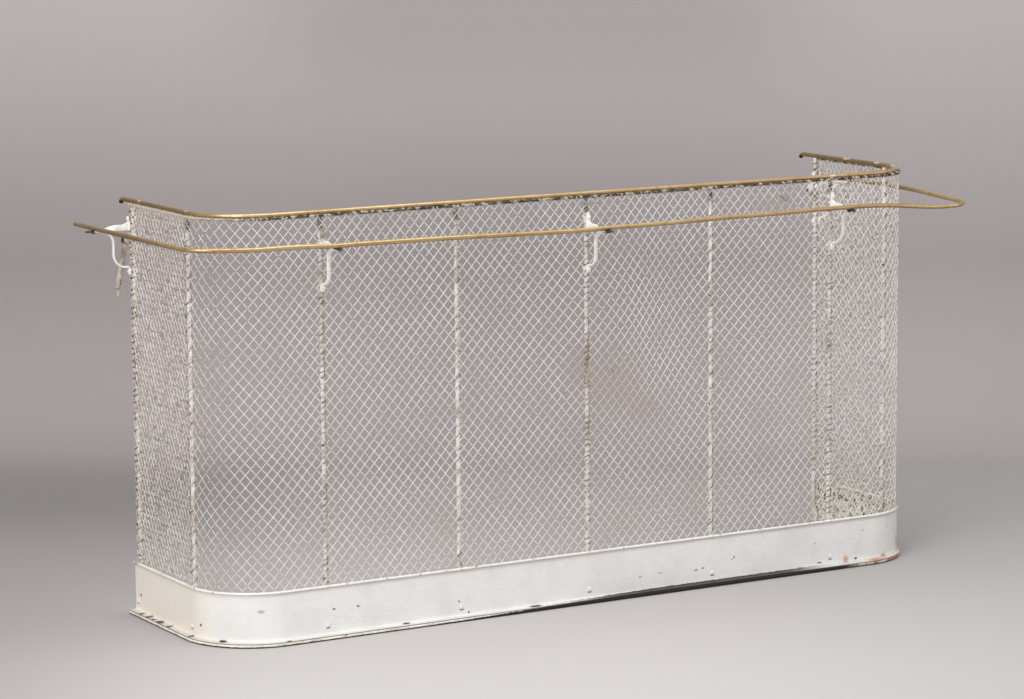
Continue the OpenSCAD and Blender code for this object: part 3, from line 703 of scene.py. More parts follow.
def weave_tree():
    """Two families of wires that lean each way, and pass over and under each other. The
    way round is measured in half cells and the height in half rows, so that wires cross
    at whole numbers of both."""
    number, whole = "NodeSocketFloat", "NodeSocketInt"
    tree, given, out = new_group("woven wire", "GeometryNodeTree", [
        ("Path", "NodeSocketGeometry", None), ("First", whole, 0), ("Last", whole, 20),
        ("Start", number, 0.0), ("Half Rows", whole, 62), ("Half Cell", number, 0.008),
        ("Half Row", number, 0.009), ("Foot", number, 0.0), ("Wire Radius", number, 0.0006),
        ("Crimp", number, 0.0003), ("Wander", number, 0.001),
        ("Pinch", "NodeSocketVector", None), ("Pinch Reach", number, 0.1),
        ("Pinch Share", number, 0.2), ("Material", "NodeSocketMaterial", None)],
        [("Mesh", "NodeSocketGeometry")])
    path = add(tree, "GeometryNodeMeshToCurve", Mesh=given["Path"]).outputs[0]
    rings = calc(tree, "MULTIPLY_ADD", given["Half Rows"], 2.0, 1.0)
    span = calc(tree, "SUBTRACT", given["Last"], given["First"])
    wires = product(tree, calc(tree, "ADD", span, given["Half Rows"]), 0.5)
    wires = calc(tree, "ADD", calc(tree, "FLOOR", wires), 2.0)
    index = add(tree, "GeometryNodeInputIndex").outputs[0]
    wire = calc(tree, "FLOOR", calc(tree, "DIVIDE", calc(tree, "ADD", index, 0.5), rings))
    rise = calc(tree, "SUBTRACT", index, product(tree, wire, rings))
    rise = product(tree, rise, 0.5)
    height = calc(tree, "MULTIPLY_ADD", rise, given["Half Row"], given["Foot"])
    families = add(tree, "GeometryNodeJoinGeometry")
    for lean in (1.0, -1.0):
        low = given["First"] if lean < 0 else calc(tree, "SUBTRACT", given["First"],
                                                   given["Half Rows"])
        low = product(tree, calc(tree, "FLOOR", product(tree, low, 0.5)), 2.0)
        along = calc(tree, "MULTIPLY_ADD", wire, 2.0, low)
        along = calc(tree, "MULTIPLY_ADD", rise, lean, along)
        run = calc(tree, "MULTIPLY_ADD", calc(tree, "SUBTRACT", along, given["First"]),
                   given["Half Cell"], given["Start"])
        sample = add(tree, "GeometryNodeSampleCurve",
                     {"mode": "LENGTH", "data_type": "FLOAT_VECTOR"}, Curves=path,
                     Value=named_way(tree), Length=run)
        way = sample.outputs["Value"]
        place = vector_calc(tree, "ADD", sample.outputs["Position"],
                            add(tree, "ShaderNodeCombineXYZ", Z=height).outputs[0])
        drift = add(tree, "ShaderNodeTexNoise", Vector=place, Scale=14.0, Detail=2.0)
        drift = vector_calc(tree, "SUBTRACT", drift.outputs["Color"], (0.5, 0.5, 0.5))
        drift = vector_calc(tree, "SCALE", drift, given["Wander"])
        inward = add(tree, "ShaderNodeVectorMath", {"operation": "DOT_PRODUCT"},
                     i0=drift, i1=way).outputs["Value"]
        drift = vector_calc(tree, "SUBTRACT", drift, vector_calc(tree, "SCALE", way, inward))
        away = vector_calc(tree, "SUBTRACT", place, given["Pinch"])
        held = add(tree, "ShaderNodeVectorMath", {"operation": "LENGTH"}, i0=away)
        held = calc(tree, "DIVIDE", held.outputs["Value"], given["Pinch Reach"])
        held = calc(tree, "EXPONENT", product(tree, held, held, -1.0))
        held = product(tree, held, given["Pinch Share"], -1.0)
        drawn = product(tree, add(tree, "ShaderNodeSeparateXYZ", Vector=away).outputs["X"], held)
        drawn = add(tree, "ShaderNodeCombineXYZ", X=drawn).outputs[0]
        drift = vector_calc(tree, "ADD", drift, drawn)
        wave = calc(tree, "COSINE", product(tree, along, math.pi))
        over = product(tree, wave, lean, given["Crimp"])
        place = vector_calc(tree, "ADD", place, vector_calc(tree, "SCALE", way, over))
        place = vector_calc(tree, "ADD", place, drift)
        points = add(tree, "GeometryNodePoints", Count=product(tree, wires, rings),
                     Position=place, Radius=1.0)
        marked = add(tree, "GeometryNodeStoreNamedAttribute",
                     {"data_type": "FLOAT", "domain": "POINT"}, Geometry=points.outputs[0],
                     Name="crossing", Value=product(tree, wave, wave))
        curves = add(tree, "GeometryNodePointsToCurves", Points=marked.outputs[0],
                     Curve_Group_ID=wire)
        beyond = calc(tree, "MAXIMUM", calc(tree, "SUBTRACT", given["First"], along),
                      calc(tree, "SUBTRACT", along, given["Last"]))
        beyond = calc(tree, "GREATER_THAN", beyond, 0.01)
        kept = add(tree, "GeometryNodeDeleteGeometry", Geometry=curves.outputs[0],
                   Selection=beyond)
        count = add(tree, "GeometryNodeSplineLength").outputs["Point Count"]
        kept = add(tree, "GeometryNodeDeleteGeometry", {"domain": "CURVE"},
                   Geometry=kept.outputs[0], Selection=calc(tree, "LESS_THAN", count, 1.5))
        tree.links.new(kept.outputs[0], families.inputs[0])
    wires = wire_skin(tree, families.outputs[0], given["Wire Radius"], 6)
    return finished(tree, wires, given["Material"], out)


WEAVE = weave_tree()
mesh_paint, tree, paint, shader = wire_paint(
    "white paint on the woven wire", Paint=tint(252, 250, 247), Stain=tint(204, 192, 178),
    Stain_Scale=16.0, Stain_Amount=0.5, Chip_Scale=210.0, Chip_Level=0.68, bump=0.0003)
x, _, here = place_parts(tree)
crossing = add(tree, "ShaderNodeAttribute", {"attribute_name": "crossing"}).outputs["Fac"]
# Painted shade where the wires cross, patchy by a noise.
crossing_shade = product(tree, band(tree, crossing, 0.6, 1.0),
               band(tree, grain(tree, here, 55.0, 3.0, 0.6), 0.42, 0.62, 0.15, 0.9))
# Along the returns the paint is warmer, and flecked with dark.
on_return = band(tree, calc(tree, "ABSOLUTE", x), 0.58, 0.63)
warmed = band(tree, grain(tree, here, 70.0, 3.0), 0.4, 0.6, 0.1, 0.7)
flecks = band(tree, grain(tree, here, 160.0, 3.0, 0.7), 0.56, 0.60, 0.0, 0.8)
# The bare patch in the middle of the front, with its brown clot, and smaller ones.
MESH_RUST = [(0.037, front_y, 0.339, 0.075, 0.065), (-0.02, front_y, 0.37, 0.035, 0.045),
             (0.09, front_y, 0.30, 0.040, 0.035), (0.34, front_y, 0.60, 0.050, 0.015)]
MESH_CLOTS = [(0.036, front_y, 0.360, 0.007, 0.006), (0.046, front_y, 0.366, 0.005, 0.003),
              (-0.050, front_y, 0.335, 0.004, 0.003), (0.36, front_y, 0.610, 0.010, 0.006)]
look = laid_over(tree, paint, (crossing_shade, tint(134, 118, 100)),
                 (product(tree, on_return, warmed), tint(214, 192, 174)),
                 (product(tree, on_return, flecks), tint(78, 62, 46)),
                 (spots_mask(tree, MESH_RUST, 0.9, 1.2, 0.3, 0.6), tint(196, 158, 122)),
                 (spots_mask(tree, MESH_CLOTS, 0.6, 1.2, 0.6), tint(84, 66, 44)))
tree.links.new(look, shader.inputs["Base Color"])
mesh_lo, mesh_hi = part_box("mesh_front")
first_cell, start = 0, 0.0
for name, node, cells, reach in PANELS:
    line = run_line(name + "_line", *u_run(mesh_radius, mesh_rear))
    panel = grown(name + "_wires", line, WEAVE, First=first_cell, Last=first_cell + cells,
                  Start=start, Half_Rows=HALF_ROWS, Half_Cell=reach / cells,
                  Half_Row=(mesh_hi.z + EDGE_LIFT - mesh_lo.z) / HALF_ROWS, Foot=mesh_lo.z,
                  Wire_Radius=WIRE_R, Crimp=CRIMP, Wander=WANDER, Pinch=PINCH,
                  Pinch_Reach=PINCH_REACH, Pinch_Share=PINCH_SHARE, Material=mesh_paint)
    fit(panel, None, "white_paint", node)
    first_cell += cells
    start += reach

# ---- Selvedge wire ----
# A stout iron wire under the top rail, from which the woven wire hangs. It was painted
# with the rest, and is mostly black again.

SELVEDGE_R = 0.0015
SELVEDGE_WORN = 0.08
BLACK_FROM_TO = (-0.64, -0.60)      # round the left corner its paint gives way to black
selvedge_lo, selvedge_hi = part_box("selvedge_wire")
selvedge_z = (selvedge_lo.z + selvedge_hi.z) / 2 + EDGE_LIFT
selvedge_radius = selvedge_hi.x - SELVEDGE_R - corner_x


def selvedge_section(spot):
    thick = SELVEDGE_R * (1 + SELVEDGE_WORN * (waver(spot, 160, selvedge_z) - 1))
    return [(thick * math.cos(t), selvedge_z + thick * math.sin(t)) for t in turns(8)]


selvedge = loft("selvedge_wire_round",
                run_rings(*u_run(selvedge_radius, selvedge_hi.y), selvedge_section))
black_wire, tree, paint, shader = painted(
    "blackened wire", Paint=tint(40, 32, 26), Stain=tint(132, 110, 84), Stain_Scale=60.0,
    Stain_Amount=0.5, Chip_Scale=140.0, Chip_Level=0.8, bump=0.0005)
x, _, here = place_parts(tree)
flakes = grain(tree, here, 130.0, 3.0, 0.6)
edge = calc(tree, "ADD", x, about_zero(tree, flakes, 0.6))
whole_paint = calc(tree, "MAXIMUM", band(tree, edge, *BLACK_FROM_TO, 0.75, 0.0),
                   band(tree, flakes, 0.50, 0.56, 0.0, 0.85))
look = laid_over(tree, paint, (whole_paint, tint(216, 206, 192)))
tree.links.new(look, shader.inputs["Base Color"])
fit(selvedge, black_wire, "dark_iron", "selvedge_wire")

# ---- Top rail ----
# Round brass tube, 7 mm thick. The real one is slit along its underside for the rods and
# the lacing; here they run up into it, and no slit is cut. Its two rear ends are bent down
# and plugged with dark metal.

RAIL_R = 0.0035
RAIL_SKIN = 0.00002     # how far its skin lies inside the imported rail's
RAIL_BEND = 0.009
RAIL_TURN = math.radians(70)
BEND_RINGS = 8
RAIL_SIDES = 16
rail_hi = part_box("top_rail")[1]
rail_z = rail_hi.z - RAIL_R
rail_rear = rail_hi.y - (RAIL_BEND + RAIL_R) * math.sin(RAIL_TURN)
rail_x = rail_hi.x - RAIL_R         # of the middle of its right return
rail_radius = rail_x - corner_x


def tube(name, stations):
    """A rail's round skin along stations: a point, a way sideways and a way up."""
    rings = [[point + (aside * math.cos(t) + above * math.sin(t)) * (RAIL_R - RAIL_SKIN)
              for t in turns(RAIL_SIDES)] for point, aside, above in stations]
    return loft(name, rings)


def rail_stations():
    """Down one bent end, round the U, and down the other."""
    stations = [(spot + UP * rail_z, out, UP)
                for spot, out in steps_along(*u_run(rail_radius, rail_rear))]
    ends = []
    for i in range(1, BEND_RINGS + 1):
        turn = RAIL_TURN * i / BEND_RINGS
        back = RAIL_BEND * math.sin(turn)
        drop = RAIL_BEND * (1 - math.cos(turn))
        ends.append((Vector((0, back, -drop)), Vector((0, math.sin(turn), math.cos(turn)))))
    first, last = stations[0], stations[-1]
    return ([(first[0] + move, first[1], above) for move, above in reversed(ends)] + stations
            + [(last[0] + move, last[1], above) for move, above in ends])


def brass_material(name, brown, patches):
    """Old drawn brass: gold where it is rubbed, brown in patches and on its returns, with
    painted shade along its underside, and finely specked."""
    material, tree, shader = new_material(name)
    here = add(tree, "ShaderNodeTexCoord").outputs["Object"]
    depth = add(tree, "ShaderNodeSeparateXYZ", Vector=here).outputs["Y"]
    wide = grain(tree, here, 9.0, 4.0, 0.6)
    small = grain(tree, here, 90.0, 4.0, 0.65)
    speck = grain(tree, here, 420.0, 2.0)
    look = laid_over(
        tree, tint(216, 190, 144), (band(tree, wide, 0.35, 0.7), tint(196, 160, 108)),
        (product(tree, band(tree, small, 0.45, 0.8), patches), tint(140, 112, 74)),
        (band(tree, depth, corner_y - 0.05, corner_y + 0.05, 0.0, brown), tint(146, 122, 84)),
        # Painted shade along its underside.
        (band(tree, facing(tree)["Z"], -0.30, -0.90, 0.0, 0.7), tint(104, 82, 54)),
        (band(tree, speck, 0.68, 0.74, 0.0, 0.7), tint(72, 54, 32)))
    tree.links.new(look, shader.inputs["Base Color"])
    shader.inputs["Metallic"].default_value = 0.85
    tree.links.new(band(tree, small, 0.3, 0.8, 0.30, 0.50), shader.inputs["Roughness"])
    dent = add(tree, "ShaderNodeBump", Height=speck, Distance=0.0001)
    tree.links.new(dent.outputs["Normal"], shader.inputs["Normal"])
    return material, tree, look, shader


top_rail = tube("top_rail_tube", rail_stations())
brass, tree, look, shader = brass_material("brass of the top rail", 0.75, 0.55)
# White paint dripped along its top, and the dark plugs in its ends.
RAIL_DRIPS = [(rail_x, 0.0580, rail_hi.z, 0.010, 0.003), (rail_x, -0.0275, rail_hi.z, 0.008, 0.003),
              (0.6200, -0.0850, rail_hi.z, 0.013, 0.004), (-rail_x, 0.1215, rail_hi.z, 0.005, 0.003),
              (-rail_x, -0.046, rail_hi.z, 0.004, 0.003), (0.455, front_y, rail_z, 0.007, 0.0035)]
RAIL_PLUGS = [(x, rail_hi.y - 0.002, rail_z - 0.004, 0.008, 0.005) for x in (-rail_x, rail_x)]
look = laid_over(tree, look, (spots_mask(tree, RAIL_PLUGS, 0.2, 1.1, 0.8), tint(52, 40, 30)),
                 (spots_mask(tree, RAIL_DRIPS, 0.5, 1.1, 0.9), tint(232, 226, 214)))
tree.links.new(look, shader.inputs["Base Color"])
fit(top_rail, brass, "brass", "top_rail")

# ---- Lacing ----
# Thin wire wound round each rod and through the woven wire down to the plinth, and round
# the selvedge wire up into the top rail. The rods' is painted, the rail's is black.

LACE_R = 0.00062
ROD_LACE_FOOT = 0.085
# The rods' lacing ends this far below the selvedge wire, and the rail's this far before
# that wire's rear ends.
LACE_SHORT = 0.004
ROD_LACE_PITCH = 0.0091         # on every other rod; twice as much between them
ROD_LACE_IN = -0.0037   # behind the rod's axis
ROD_LACE_OUT = 0.0058   # outside the woven wire
ROD_LACE_WIDTH = 0.0034
EDGE_LACE_PITCH = 0.0062
EDGE_LACE_WIDTH = 0.0022
RAIL_LACE_PITCH = 0.0105
RAIL_LACE_R = 0.00055
RAIL_LACE_SHIFT = -0.0012
RAIL_LACE_DEPTH = 0.0032
RAIL_LACE_OVER = 0.0012         # how far it reaches past the wire's middle and into the rail


def lacing_tree():
    """A wire wound in an oval helix round a line, its turns a little uneven."""
    number = "NodeSocketFloat"
    tree, given, out = new_group("lacing", "GeometryNodeTree", [
        ("Path", "NodeSocketGeometry", None), ("Pitch", number, 0.009),
        ("Shift", number, 0.0), ("Depth", number, 0.004), ("Width", number, 0.004),
        ("Uneven", number, 0.8), ("Wire Radius", number, 0.0006), ("Seed", number, 0.0),
        ("Material", "NodeSocketMaterial", None)], [("Mesh", "NodeSocketGeometry")])
    path = add(tree, "GeometryNodeMeshToCurve", Mesh=given["Path"]).outputs[0]
    fine = add(tree, "GeometryNodeResampleCurve", {"mode": "LENGTH"}, Curve=path,
               Length=calc(tree, "DIVIDE", given["Pitch"], 12.0)).outputs[0]
    way = named_way(tree)
    tangent = add(tree, "GeometryNodeInputTangent").outputs[0]
    side = vector_calc(tree, "CROSS_PRODUCT", tangent, way)
    length = add(tree, "GeometryNodeSplineParameter").outputs["Length"]
    place = add(tree, "GeometryNodeInputPosition").outputs[0]
    drift = add(tree, "ShaderNodeTexNoise", {"noise_dimensions": "4D"}, Vector=place,
                W=given["Seed"], Scale=70.0, Detail=1.0).outputs[0]
    drift = about_zero(tree, drift, given["Uneven"])
    turn = product(tree, calc(tree, "DIVIDE", length, given["Pitch"]), 2 * math.pi)
    turn = calc(tree, "ADD", turn, product(tree, drift, 8.0))
    swell = calc(tree, "ADD", product(tree, drift, 0.35), 1.0)
    deep = calc(tree, "MULTIPLY_ADD", calc(tree, "COSINE", turn), given["Depth"], given["Shift"])
    wide = product(tree, calc(tree, "SINE", turn), given["Width"], swell)
    shift = vector_calc(tree, "ADD", vector_calc(tree, "SCALE", way, deep),
                        vector_calc(tree, "SCALE", side, wide))
    wound = add(tree, "GeometryNodeSetPosition", Geometry=fine, Offset=shift)
    wire = wire_skin(tree, wound.outputs[0], given["Wire Radius"], 5)
    return finished(tree, wire, given["Material"], out)


LACING = lacing_tree()
lace_paint, *_ = wire_paint("paint on the rods' lacing", Paint=tint(226, 221, 212),
                            Stain=tint(104, 92, 70), Stain_Scale=50.0, Stain_Amount=1.0,
                            Bare=tint(62, 54, 40), Rust=tint(100, 84, 60),
                            Chip_Scale=80.0, Chip_Level=0.50)
laces = []
for number, (spot, out) in enumerate(RODS):
    line = line_of("rod_lace_line", [(spot + UP * z, out)
                                     for z in (ROD_LACE_FOOT, selvedge_z - LACE_SHORT)])
    laces.append(grown("rod_lace", line, LACING, Pitch=ROD_LACE_PITCH * (1 + number % 2),
                       Shift=(ROD_LACE_IN + ROD_LACE_OUT) / 2,
                       Depth=(ROD_LACE_OUT - ROD_LACE_IN) / 2, Width=ROD_LACE_WIDTH, Uneven=0.9,
                       Wire_Radius=LACE_R, Seed=float(number), Material=lace_paint))


def joined(name, pieces):
    """One piece out of several."""
    shell = bmesh.new()
    for part in pieces:
        shell.from_mesh(part.data)
        bpy.data.objects.remove(part)
    mesh = bpy.data.meshes.new(name)
    shell.to_mesh(mesh)
    shell.free()
    return new_piece(name, mesh)


fit(joined("rod_lacing", laces), lace_paint, "white_paint", "rod_ties")

lace_run = u_run(selvedge_radius, selvedge_hi.y - LACE_SHORT)
line = run_line("edge_lace_line", *lace_run, height=selvedge_z)
edge_lace = grown("edge_lace", line, LACING, Pitch=EDGE_LACE_PITCH, Shift=0.0,
                  Depth=EDGE_LACE_WIDTH, Width=EDGE_LACE_WIDTH, Uneven=1.6,
                  Wire_Radius=RAIL_LACE_R, Seed=30.0, Material=black_wire)
rail_foot = rail_z - RAIL_R
line = run_line("rail_lace_line", *lace_run, height=(selvedge_z + rail_foot) / 2)
rail_lace = grown("rail_lace", line, LACING, Pitch=RAIL_LACE_PITCH, Shift=RAIL_LACE_SHIFT,
                  Depth=RAIL_LACE_DEPTH, Width=(rail_foot - selvedge_z) / 2 + RAIL_LACE_OVER,
                  Uneven=1.8, Wire_Radius=RAIL_LACE_R, Seed=40.0, Material=black_wire)
fit(joined("rail_lacing", [edge_lace, rail_lace]), black_wire, "dark_iron", "rail_ties")

# ---- Airing rail ----
# A second brass tube of the same thickness, 58 mm out from the guard, for airing clothes.
# Its ends run on past the rear rods, and it has been bent a little up and down by use.

AIR_CORNER_R = 0.050
air_lo, air_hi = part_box("airing_rail")
air_z = (air_lo.z + air_hi.z) / 2
air_across = air_hi.x - RAIL_R - AIR_CORNER_R
air_back = air_lo.y + RAIL_R + AIR_CORNER_R
# Its waves, as x, y, rise and reach. They die away where a bracket holds it, but for the
# left return, which lies higher as a whole.
AIR_WAVES = [(0.130, -0.2145, -0.0020, 0.120), (0.300, -0.2145, -0.0010, 0.060),
             (0.670, -0.170, -0.0080, 0.110), (0.610, -0.2145, -0.0045, 0.075),
             (-0.560, -0.2145, 0.0028, 0.100)]
AIR_REACH_OUT = 0.0643  # from a bracket rod's axis to the rail
AIR_HELD = 0.035        # reach of a bracket's hold
LEFT_LIFT = 0.0055
LEFT_FROM_TO = (-0.58, -0.69)
# The front's middle hangs low, as x, y, rise and reach, and its bracket with it.
MIDDLE_SAG = (-0.070, -0.2145, -0.0044, 0.170)
MIDDLE_LIFT = -0.0038
# Each bracket's name and rod, how far its strap passes the rail, how far out its brace
# stands, and how much higher than the others it is.
BRACKETS = [("rear_left", 0, 0.013, 0.033, LEFT_LIFT), ("front_left", 2, 0.001, 0.027, 0.0),
            ("front_middle", 4, 0.013, 0.029, MIDDLE_LIFT), ("front_right", 6, 0.001, 0.037, 0.0),
            ("rear_right", 8, 0.013, 0.033, 0.0)]


def near(spot, x, y, reach):
    """From 1 at a place down to 0 well past its reach."""
    return math.exp(-((spot.x - x) ** 2 + (spot.y - y) ** 2) / reach ** 2)


def off_rod(number, outward):
    """A point on the floor, outward of a rod's axis."""
    spot, out = RODS[number]
    return spot + out * outward


def air_rise(spot):
    """How much higher than level the airing rail is at a place."""
    rise = sum(high * near(spot, x, y, reach) for x, y, high, reach in AIR_WAVES)
    for _, number, *_ in BRACKETS:
        held = off_rod(number, AIR_REACH_OUT)
        rise *= 1 - near(spot, held.x, held.y, AIR_HELD)
    x, y, high, reach = MIDDLE_SAG
    rise += high * near(spot, x, y, reach)
    return rise + LEFT_LIFT * eased(share_of(spot.x, *LEFT_FROM_TO))


air_run = u_run(AIR_CORNER_R, air_hi.y, air_across, air_back)
airing_rail = tube("airing_rail_tube", [(spot + UP * (air_z + air_rise(spot)), out, UP)
                                        for spot, out in steps_along(*air_run)])
air_brass, *_ = brass_material("brass of the airing rail", 0.55, 0.7)
fit(airing_rail, air_brass, "brass", "airing_rail")

# ---- Straps ----
# A flat iron strap carries the airing rail from each of five rods. It is riveted to the
# rod, stands on edge there, and twists flat to pass under the rail to a dark tip.

IRON_W = 0.010
IRON_T = 0.003
PLATE_OUT = 0.0053      # from the rod's axis to the foot's inner face
PLATE_W = 0.0080
PLATE_TIP = 0.0036      # its width at its top, where it tapers on to the rod
PLATE_TAPER = 0.4       # share of its height where it starts to taper
PLATE_STEPS = 8
END_SHARE = 0.85        # share of its width that a flat bar has at its very ends
FRONT_WEB_H = 0.0085    # height of a strap where it stands on edge
REAR_WEB_H = 0.0090
REAR_FOOT = 0.66        # share of its height that a rear strap's foot has
ROOT_H = 0.006          # how much higher still it is at its root
ROOT_IN = 0.001         # how far its root goes into its foot
ROOT_REACH = 0.014
TWIST = (0.026, 0.052)  # how far out it begins and ends to twist
TIP_REACH = 0.009       # how far back from its end it narrows
ARM_STEPS = 28


def flat_bar(name, stations, soft=0.28):
    """A bar of flat iron through stations: a point, a way across its width, its normal,
    its width and its thickness. Its edges are rounded by a soft share of that."""
    rings = []
    for point, across, normal, wide, thick in stations:
        outline = rounded_box(-wide / 2, wide / 2, -thick / 2, thick / 2,
                              min(wide, thick) * soft, 2)
        rings.append([point + across * a + normal * n for a, n in outline])
    return loft(name, rings, 50)


def strap_piece(name, node, spot, out, over):
    lo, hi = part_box(node)
    along = out.cross(UP)
    tall = (hi.z - lo.z) * (1 if "front" in node else REAR_FOOT)
    foot = []
    for i in range(PLATE_STEPS + 1):
        share = i / PLATE_STEPS
        wide = PLATE_W + (PLATE_TIP - PLATE_W) * share_of(share, PLATE_TAPER, 1)
        foot.append((spot + out * (PLATE_OUT + IRON_T / 2) + UP * (lo.z + tall * share), along,
                     out, wide * (END_SHARE if i in (0, PLATE_STEPS) else 1), IRON_T))
    arm = []
    start = PLATE_OUT + ROOT_IN
    end = AIR_REACH_OUT + over
    web = FRONT_WEB_H if "front" in node else REAR_WEB_H
    for i in range(ARM_STEPS + 1):
        o = start + (end - start) * i / ARM_STEPS
        share = eased(share_of(o, *TWIST))
        turn = math.radians(90 * (1 - share))
        root = web + ROOT_H * share_of(o, start + ROOT_REACH, start) ** 2
        high = root + (IRON_T - root) * share
        tip = share_of(o, end, end - TIP_REACH)
        across = along * math.cos(turn) + UP * math.sin(turn)
        arm.append((spot + out * o + UP * (lo.z + high / 2), across, across.cross(out),
                    (root + (IRON_W - root) * share) * (0.5 + 0.5 * tip),
                    IRON_T * (0.8 + 0.2 * share) * (0.7 + 0.3 * tip)))
    return joined(name, [flat_bar("foot", foot), flat_bar("arm", arm)])


iron_paint, tree, paint, shader = painted(
    "white paint on the brackets", Paint=tint(240, 238, 233), Stain=tint(206, 198, 184),
    Stain_Scale=40.0, Stain_Amount=0.5, Chip_Scale=190.0, Chip_Level=0.72, bump=0.0006)
strap_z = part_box("strap_front_middle")[0].z
TIPS = []
for _, number, over, _, lift in BRACKETS:
    TIPS += by_rods([RODS[number]], AIR_REACH_OUT + over - 0.005, strap_z + lift, 0.0095, 0.008)
# Painted shade on the front left strap near its root, where it turns.
TWIST_SHADE = by_rods(RODS[2:3], 0.008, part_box("strap_front_left")[1].z - 0.006, 0.010, 0.012)
look = laid_over(tree, paint, (spots_mask(tree, TWIST_SHADE, 1.0, 1.3, 0.6, 0.8), tint(128, 112, 90)),
                 (spots_mask(tree, TIPS, 0.25, 1.1, 0.9), tint(66, 54, 42)))
tree.links.new(look, shader.inputs["Base Color"])
for side, number, over, _, lift in BRACKETS:
    spot, out = RODS[number]
    strap = strap_piece(f"strap_{side}_iron", f"strap_{side}", spot + UP * lift, out, over)
    fit(strap, iron_paint, "white_paint", f"strap_{side}")

# ---- Braces ----
# A bent flat bar props each strap from below: it turns down from the strap, runs straight,
# turns in towards the rod, and ends in a foot that is riveted on the rod.

BRACE_W = 0.0062
BRACE_SOFT = 0.47
BRACE_TOP_R = 0.017     # radius of its upper bend
BRACE_HEEL = 0.0170     # height of its foot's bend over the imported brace's lower end
BRACE_END = 0.0055      # it stops this far above that end
BRACE_END_STEP = 0.001
BRACE_FOOT_R = 0.0032
HEEL_OUT = 0.013
ARC_STEPS = 8
QUARTER = [math.pi / 2 * i / ARC_STEPS for i in range(ARC_STEPS + 1)]


def brace_line(top, low, brace_out):
    """The brace's middle line as (outward, z) and the turn of its normal."""
    top_z = top - IRON_T / 2 - BRACE_TOP_R
    heel_z = low + BRACE_HEEL
    bend = brace_out - HEEL_OUT
    heel = PLATE_OUT + IRON_T / 2
    line = [(brace_out + BRACE_TOP_R * (1 - math.sin(t)), top_z + BRACE_TOP_R * math.cos(t),
             math.pi / 2 + t) for t in QUARTER]
    line += [(brace_out - bend * (1 - math.cos(t)), heel_z + bend - bend * math.sin(t),
              math.pi - t) for t in QUARTER]
    line += [(heel + BRACE_FOOT_R * (1 - math.sin(t)),
              heel_z - BRACE_FOOT_R * (1 - math.cos(t)), math.pi / 2 + t) for t in QUARTER]
    return line + [(heel, low + BRACE_END + BRACE_END_STEP, math.pi),
                   (heel, low + BRACE_END, math.pi)]


def brace_piece(name, node, spot, out, brace_out):
    lo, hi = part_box(node)
    along = out.cross(UP)
    line = brace_line(hi.z, lo.z, brace_out)
    stations = []
    for i, (o, z, turn) in enumerate(line):
        normal = out * math.cos(turn) + UP * math.sin(turn)
        foot = share_of(i, 2 * ARC_STEPS + 2, 3 * ARC_STEPS + 2)
        end = END_SHARE if i in (0, len(line) - 1) else 1.0
        wide = BRACE_W + (PLATE_W - BRACE_W) * foot
        stations.append((spot + out * o + UP * z, along, normal,
                         wide * end * (1 + 0.04 * waver((o, z, spot.x), 90)), IRON_T))
    return flat_bar(name, stations, BRACE_SOFT)


for side, number, _, brace_out, lift in BRACKETS:
    spot, out = RODS[number]
    brace = brace_piece(f"brace_{side}_iron", f"brace_{side}", spot + UP * lift, out, brace_out)
    fit(brace, iron_paint, "white_paint", f"brace_{side}")

# ---- Rivets and screws ----
# Iron rivets with domed heads hold the rods' feet to the plinth and the brackets to the
# rods. A screw goes up through each strap into the airing rail; its head stays dark.

HEAD_R = 0.004
HEAD_H = 0.002
FOOT_HEAD_H = 0.0013    # those on the plinth are flatter
FOOT_HEAD_OUT = 0.0064  # from the rod's axis
FOOT_RIVET_Z = 0.021
STRAP_RIVET_UP = 0.0175 # above the strap's lower edge
BRACE_RIVET_UP = 0.0110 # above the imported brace's lower end


def rivets_tree():
    """A domed head on every point of a line, facing the way out stored there."""
    number = "NodeSocketFloat"
    tree, given, out = new_group("rivet heads", "GeometryNodeTree", [
        ("Path", "NodeSocketGeometry", None), ("Radius", number, 0.004),
        ("Height", number, 0.002), ("Material", "NodeSocketMaterial", None)],
        [("Mesh", "NodeSocketGeometry")])
    points = add(tree, "GeometryNodeMeshToPoints", Mesh=given["Path"]).outputs[0]
    dome = add(tree, "GeometryNodeMeshUVSphere", Segments=20, Rings=12, Radius=1.0).outputs[0]
    aim = add(tree, "FunctionNodeAlignRotationToVector", {"axis": "Z"},
              Vector=named_way(tree)).outputs[0]
    size = add(tree, "ShaderNodeCombineXYZ", X=given["Radius"], Y=given["Radius"],
               Z=given["Height"]).outputs[0]
    heads = add(tree, "GeometryNodeInstanceOnPoints", Points=points, Instance=dome,
                Rotation=aim, Scale=size)
    return finished(tree, heads.outputs[0], given["Material"], out)


RIVETS = rivets_tree()


def heads(name, spots, material, slot, node, high=HEAD_H):
    line = line_of(name + "_line", spots)
    piece = grown(name, line, RIVETS, Radius=HEAD_R, Height=high, Material=material)
    fit(piece, None, slot, node)


foot_heads = []
for spot, out in RODS:
    foot_heads.append((spot + out * FOOT_HEAD_OUT + UP * FOOT_RIVET_Z, out))
    foot_heads.append((spot + UP * FOOT_RIVET_Z + out * (FOOT_OUT - FOOT_THICK), -out))
heads("plinth_rivet_heads", foot_heads, sheet_paint, "white_paint", "plinth_rivets",
      FOOT_HEAD_H)
bracket_heads = []
for side, number, _, _, lift in BRACKETS:
    spot, out = RODS[number]
    for z in (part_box(f"strap_{side}")[0].z + lift + STRAP_RIVET_UP,
              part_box(f"brace_{side}")[0].z + lift + BRACE_RIVET_UP):
        bracket_heads.append((spot + out * (PLATE_OUT + IRON_T) + UP * z, out))
        bracket_heads.append((spot - out * ROD_R + UP * z, -out))
heads("bracket_rivet_heads", bracket_heads, iron_paint, "white_paint", "bracket_rivets")
dark_iron, *_ = painted("dark bare iron", Paint=tint(58, 50, 44), Stain=tint(104, 82, 62),
                        Stain_Scale=90.0, Stain_Amount=0.8, Chip_Scale=260.0,
                        Chip_Level=0.66, bump=0.0005)
